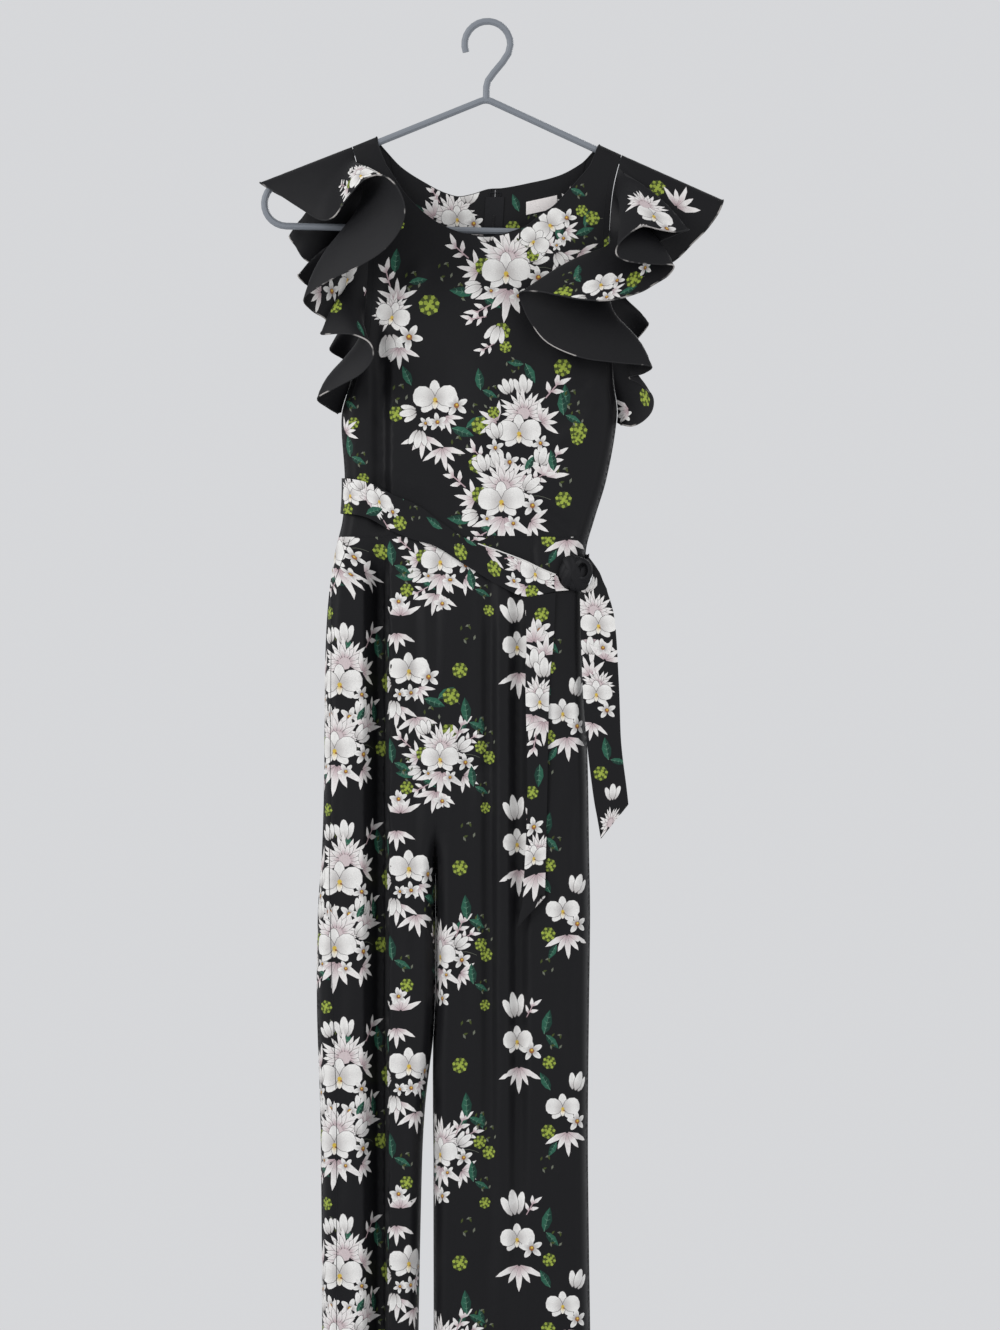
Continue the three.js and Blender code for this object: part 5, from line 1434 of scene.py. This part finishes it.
# Neck binding, a narrow roll along both cut edges
neck_front = NeckTop(FRONT_NECK, NECK_POINT, 1 - NECK_POINT, -1)
depths = surface_y(-1, neck_front.x, neck_front.drops)
tube("neck_roll_front", np.stack([neck_front.x, depths + 0.5, -neck_front.drops], axis=-1), 0.8, MATERIALS["reverse"])
neck_back = NeckTop(BACK_NECK, NECK_POINT, 1 - NECK_POINT, 1)
depths = surface_y(1, neck_back.x, neck_back.drops)
tube("neck_roll_back", np.stack([neck_back.x, depths - 0.5, -neck_back.drops], axis=-1), 0.8, MATERIALS["reverse"])

# Seams: a fine raised line of thread and turned cloth on the surface
def surface_line(name, side, corners, radius=0.35, out=0.1, material="thread"):
    points = []
    for (x0, d0), (x1, d1) in zip(corners[:-1], corners[1:]):
        count = max(2, int(math.hypot(x1 - x0, d1 - d0) / 4))
        for t in np.linspace(0, 1, count, endpoint=False):
            points.append((mix(x0, x1, t), mix(d0, d1, t)))
    points.append(corners[-1])
    points = np.array(points, dtype=float)
    x = np.clip(points[:, 0], left_edge(points[:, 1]) + 0.3, right_edge(points[:, 1]) - 0.3)
    y = surface_y(side, x, points[:, 1]) + side * out
    return tube(name, np.stack([x, y, -points[:, 1]], axis=-1), radius, MATERIALS[material])


waist_ends = ((float(left_edge(WAIST)) + 1, WAIST), (float(right_edge(WAIST)) - 1, WAIST))
surface_line("seam_waist_front", -1, waist_ends, 0.5)
surface_line("seam_waist_back", 1, waist_ends, 0.5)
surface_line("seam_side_front_left", -1, ((-133, 500), (-151, 548), (-153, 830), (-150, 946), (-146, 1043), (-146, 1438)), 0.25)
surface_line("pleat_front_right", -1, ((41.7, 499), (41, 560), (38, 640)), 0.3)
surface_line("seam_side_back_right", 1, ((82, 500), (84, 700), (88, 1100), (88, 1438)))
surface_line("stitch_hem_front_left", -1, ((-158, 1420), (-72, 1420)), 0.25)
surface_line("stitch_hem_front_right", -1, ((-50, 1420), (98, 1420)), 0.25)
surface_line("stitch_hem_back_left", 1, ((-158, 1420), (-72, 1420)), 0.25)
surface_line("stitch_hem_back_right", 1, ((-50, 1420), (98, 1420)), 0.25)
for hand, name in ((-1, "left"), (1, "right")):
    for side, place in ((-1, "front"), (1, "back")):
        underarm = UNDERARM_LEFT if hand < 0 else UNDERARM_RIGHT
        drops = np.arange(140, underarm - 4, 6.0)
        edge = left_edge(drops) if hand < 0 else right_edge(drops)
        path = list(zip(edge - hand * 6, drops))
        surface_line("stitch_armhole_" + place + "_" + name, side, path, 0.22)

# The zip's coil on the inside of its tape
COIL_TOP = 184.0
COIL_STEP = 0.9
COIL_IN = 3.3
coil_drops = np.arange(COIL_TOP, 640, COIL_STEP)
coil_x = centre_line(coil_drops) + 1.1 * np.where(np.arange(len(coil_drops)) % 2, 1, -1)
coil_y = surface_y(1, coil_x, coil_drops) - COIL_IN
tube("zip_coil", np.stack([coil_x, coil_y, -coil_drops], axis=-1), 0.35, MATERIALS["coil"])


def band(name, path, wide, thick, twist):
    """A folded strip of cloth swept along a path, with a flat rounded section and soft pleats along it."""
    path = np.array(path, dtype=float)
    sides = 28
    vertices, faces = [], []
    for i, spot in enumerate(path):
        ahead = path[min(i + 1, len(path) - 1)] - path[max(i - 1, 0)]
        ahead = ahead / np.linalg.norm(ahead)
        out = spot - np.array([KNOT["x"], knot_plane + 4, -KNOT["drop"]])
        out = out - ahead * np.dot(out, ahead)
        out = out / np.linalg.norm(out)
        across = np.cross(ahead, out)
        for k in range(sides):
            turn = 2 * math.pi * k / sides
            pleat = 1 + 0.16 * math.cos(5 * turn + twist + 0.12 * i)
            u, v = wide / 2 * math.cos(turn), thick / 2 * math.sin(turn) * pleat
            vertices.append(tuple((spot + across * u + out * v) * MM))
    rows = len(path)
    for i in range(rows - 1):
        for k in range(sides):
            nxt = (k + 1) % sides
            faces.append((i * sides + k, i * sides + nxt, (i + 1) * sides + nxt, (i + 1) * sides + k))
    faces.append(tuple(range(sides - 1, -1, -1)))
    faces.append(tuple((rows - 1) * sides + k for k in range(sides)))
    mesh = bpy.data.meshes.new(name)
    mesh.from_pydata(vertices, [], faces)
    mesh.polygons.foreach_set("use_smooth", np.ones(len(mesh.polygons), dtype=bool))
    obj = bpy.data.objects.new(name, mesh)
    bpy.context.collection.objects.link(obj)
    mesh.materials.append(MATERIALS["reverse"])
    return garment_piece(obj)


def knot_ring(start, end, lean, grow, low=1.0):
    """Points round the front of the knot, from one angle to another, leaning to one side."""
    points = []
    for a in np.radians(np.linspace(start, end, 30)):
        y = knot_plane - (KNOT["half_deep"] * 0.82) * math.cos(a) * grow
        z = -KNOT["drop"] + KNOT["half_tall"] * 0.92 * math.sin(a) * grow * low
        points.append((KNOT["x"] + lean * math.sin(a), y, z))
    return points


band("knot_wrap", knot_ring(-84, 84, -7, 1.0), 12, 3.0, 0.0)
ring = [(KNOT["x"] + 7 + 7.5 * math.cos(a), knot_plane - 7.5 - 1.2 * math.cos(a), -KNOT["drop"] + 3 + 9.5 * math.sin(a))
        for a in np.radians(np.linspace(-150, 150, 36))]
band("knot_loop", ring, 7, 2.6, 1.2)

# Carried-over nodes take their finish
for name, material in (
    ("hanger", "plastic"), ("neck_label", "label"), ("zip_tape", "tape"), ("zip_slider", "metal"),
    ("zip_pull", "metal"), ("neck_hook", "metal"), ("neck_eye", "metal"),
):
    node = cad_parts[name]
    node.data.materials.clear()
    node.data.materials.append(MATERIALS[material])
    for face in node.data.polygons:
        face.material_index = 0

# Studio: a pale round floor under a pale sky, soft light from the front and behind
FLOOR_Z = -1.62
FLOOR_RADIUS = 1.15
FLOOR_SIDES = 128
around = np.linspace(0, 2 * math.pi, FLOOR_SIDES, endpoint=False)
floor_mesh = bpy.data.meshes.new("floor")
floor_rim = [(FLOOR_RADIUS * math.cos(a), FLOOR_RADIUS * math.sin(a), FLOOR_Z) for a in around]
floor_mesh.from_pydata(floor_rim, [], [tuple(range(FLOOR_SIDES))])
floor_mesh.materials.append(make_plain("floor_paper", shade(222, 223, 226), 0.9, 0.1, 0.05))
floor = bpy.data.objects.new("floor", floor_mesh)
bpy.context.collection.objects.link(floor)


def lamp(name, place, aim, wide, tall, power):
    data = bpy.data.lights.new(name, "AREA")
    data.shape = "RECTANGLE"
    data.size, data.size_y = wide, tall
    data.energy = power
    obj = bpy.data.objects.new(name, data)
    bpy.context.collection.objects.link(obj)
    obj.location = place
    direction = Vector(aim) - Vector(place)
    obj.rotation_euler = direction.to_track_quat("-Z", "Y").to_euler()


lamp("key", (-2.3, -1.9, 0.8), (0, 0, -0.6), 1.2, 1.5, 52)
lamp("fill", (2.0, -2.6, -0.2), (0, 0, -0.7), 1.6, 2.0, 16)
lamp("behind", (1.4, 2.8, 0.6), (0, 0, -0.6), 1.8, 2.2, 34)
world = bpy.data.worlds.new("studio")
bpy.context.scene.world = world
world.use_nodes = True
world.node_tree.nodes["Background"].inputs["Color"].default_value = (0.965, 0.975, 1.0, 1)
world.node_tree.nodes["Background"].inputs["Strength"].default_value = 0.7

camera_data = bpy.data.cameras.new("camera")
camera_data.sensor_width = 36.0
camera_data.lens = 36.0 * CAMERA_AWAY / VIEW_TALL
camera_data.dof.use_dof = False
camera_data.clip_end = 50.0
camera = bpy.data.objects.new("camera", camera_data)
bpy.context.collection.objects.link(camera)
camera.location = (VIEW_CENTRE[0] * MM, -CAMERA_AWAY * MM, VIEW_CENTRE[1] * MM)
camera.rotation_euler = (math.pi / 2, 0, 0)
bpy.context.scene.camera = camera
bpy.context.scene.view_settings.view_transform = "Standard"
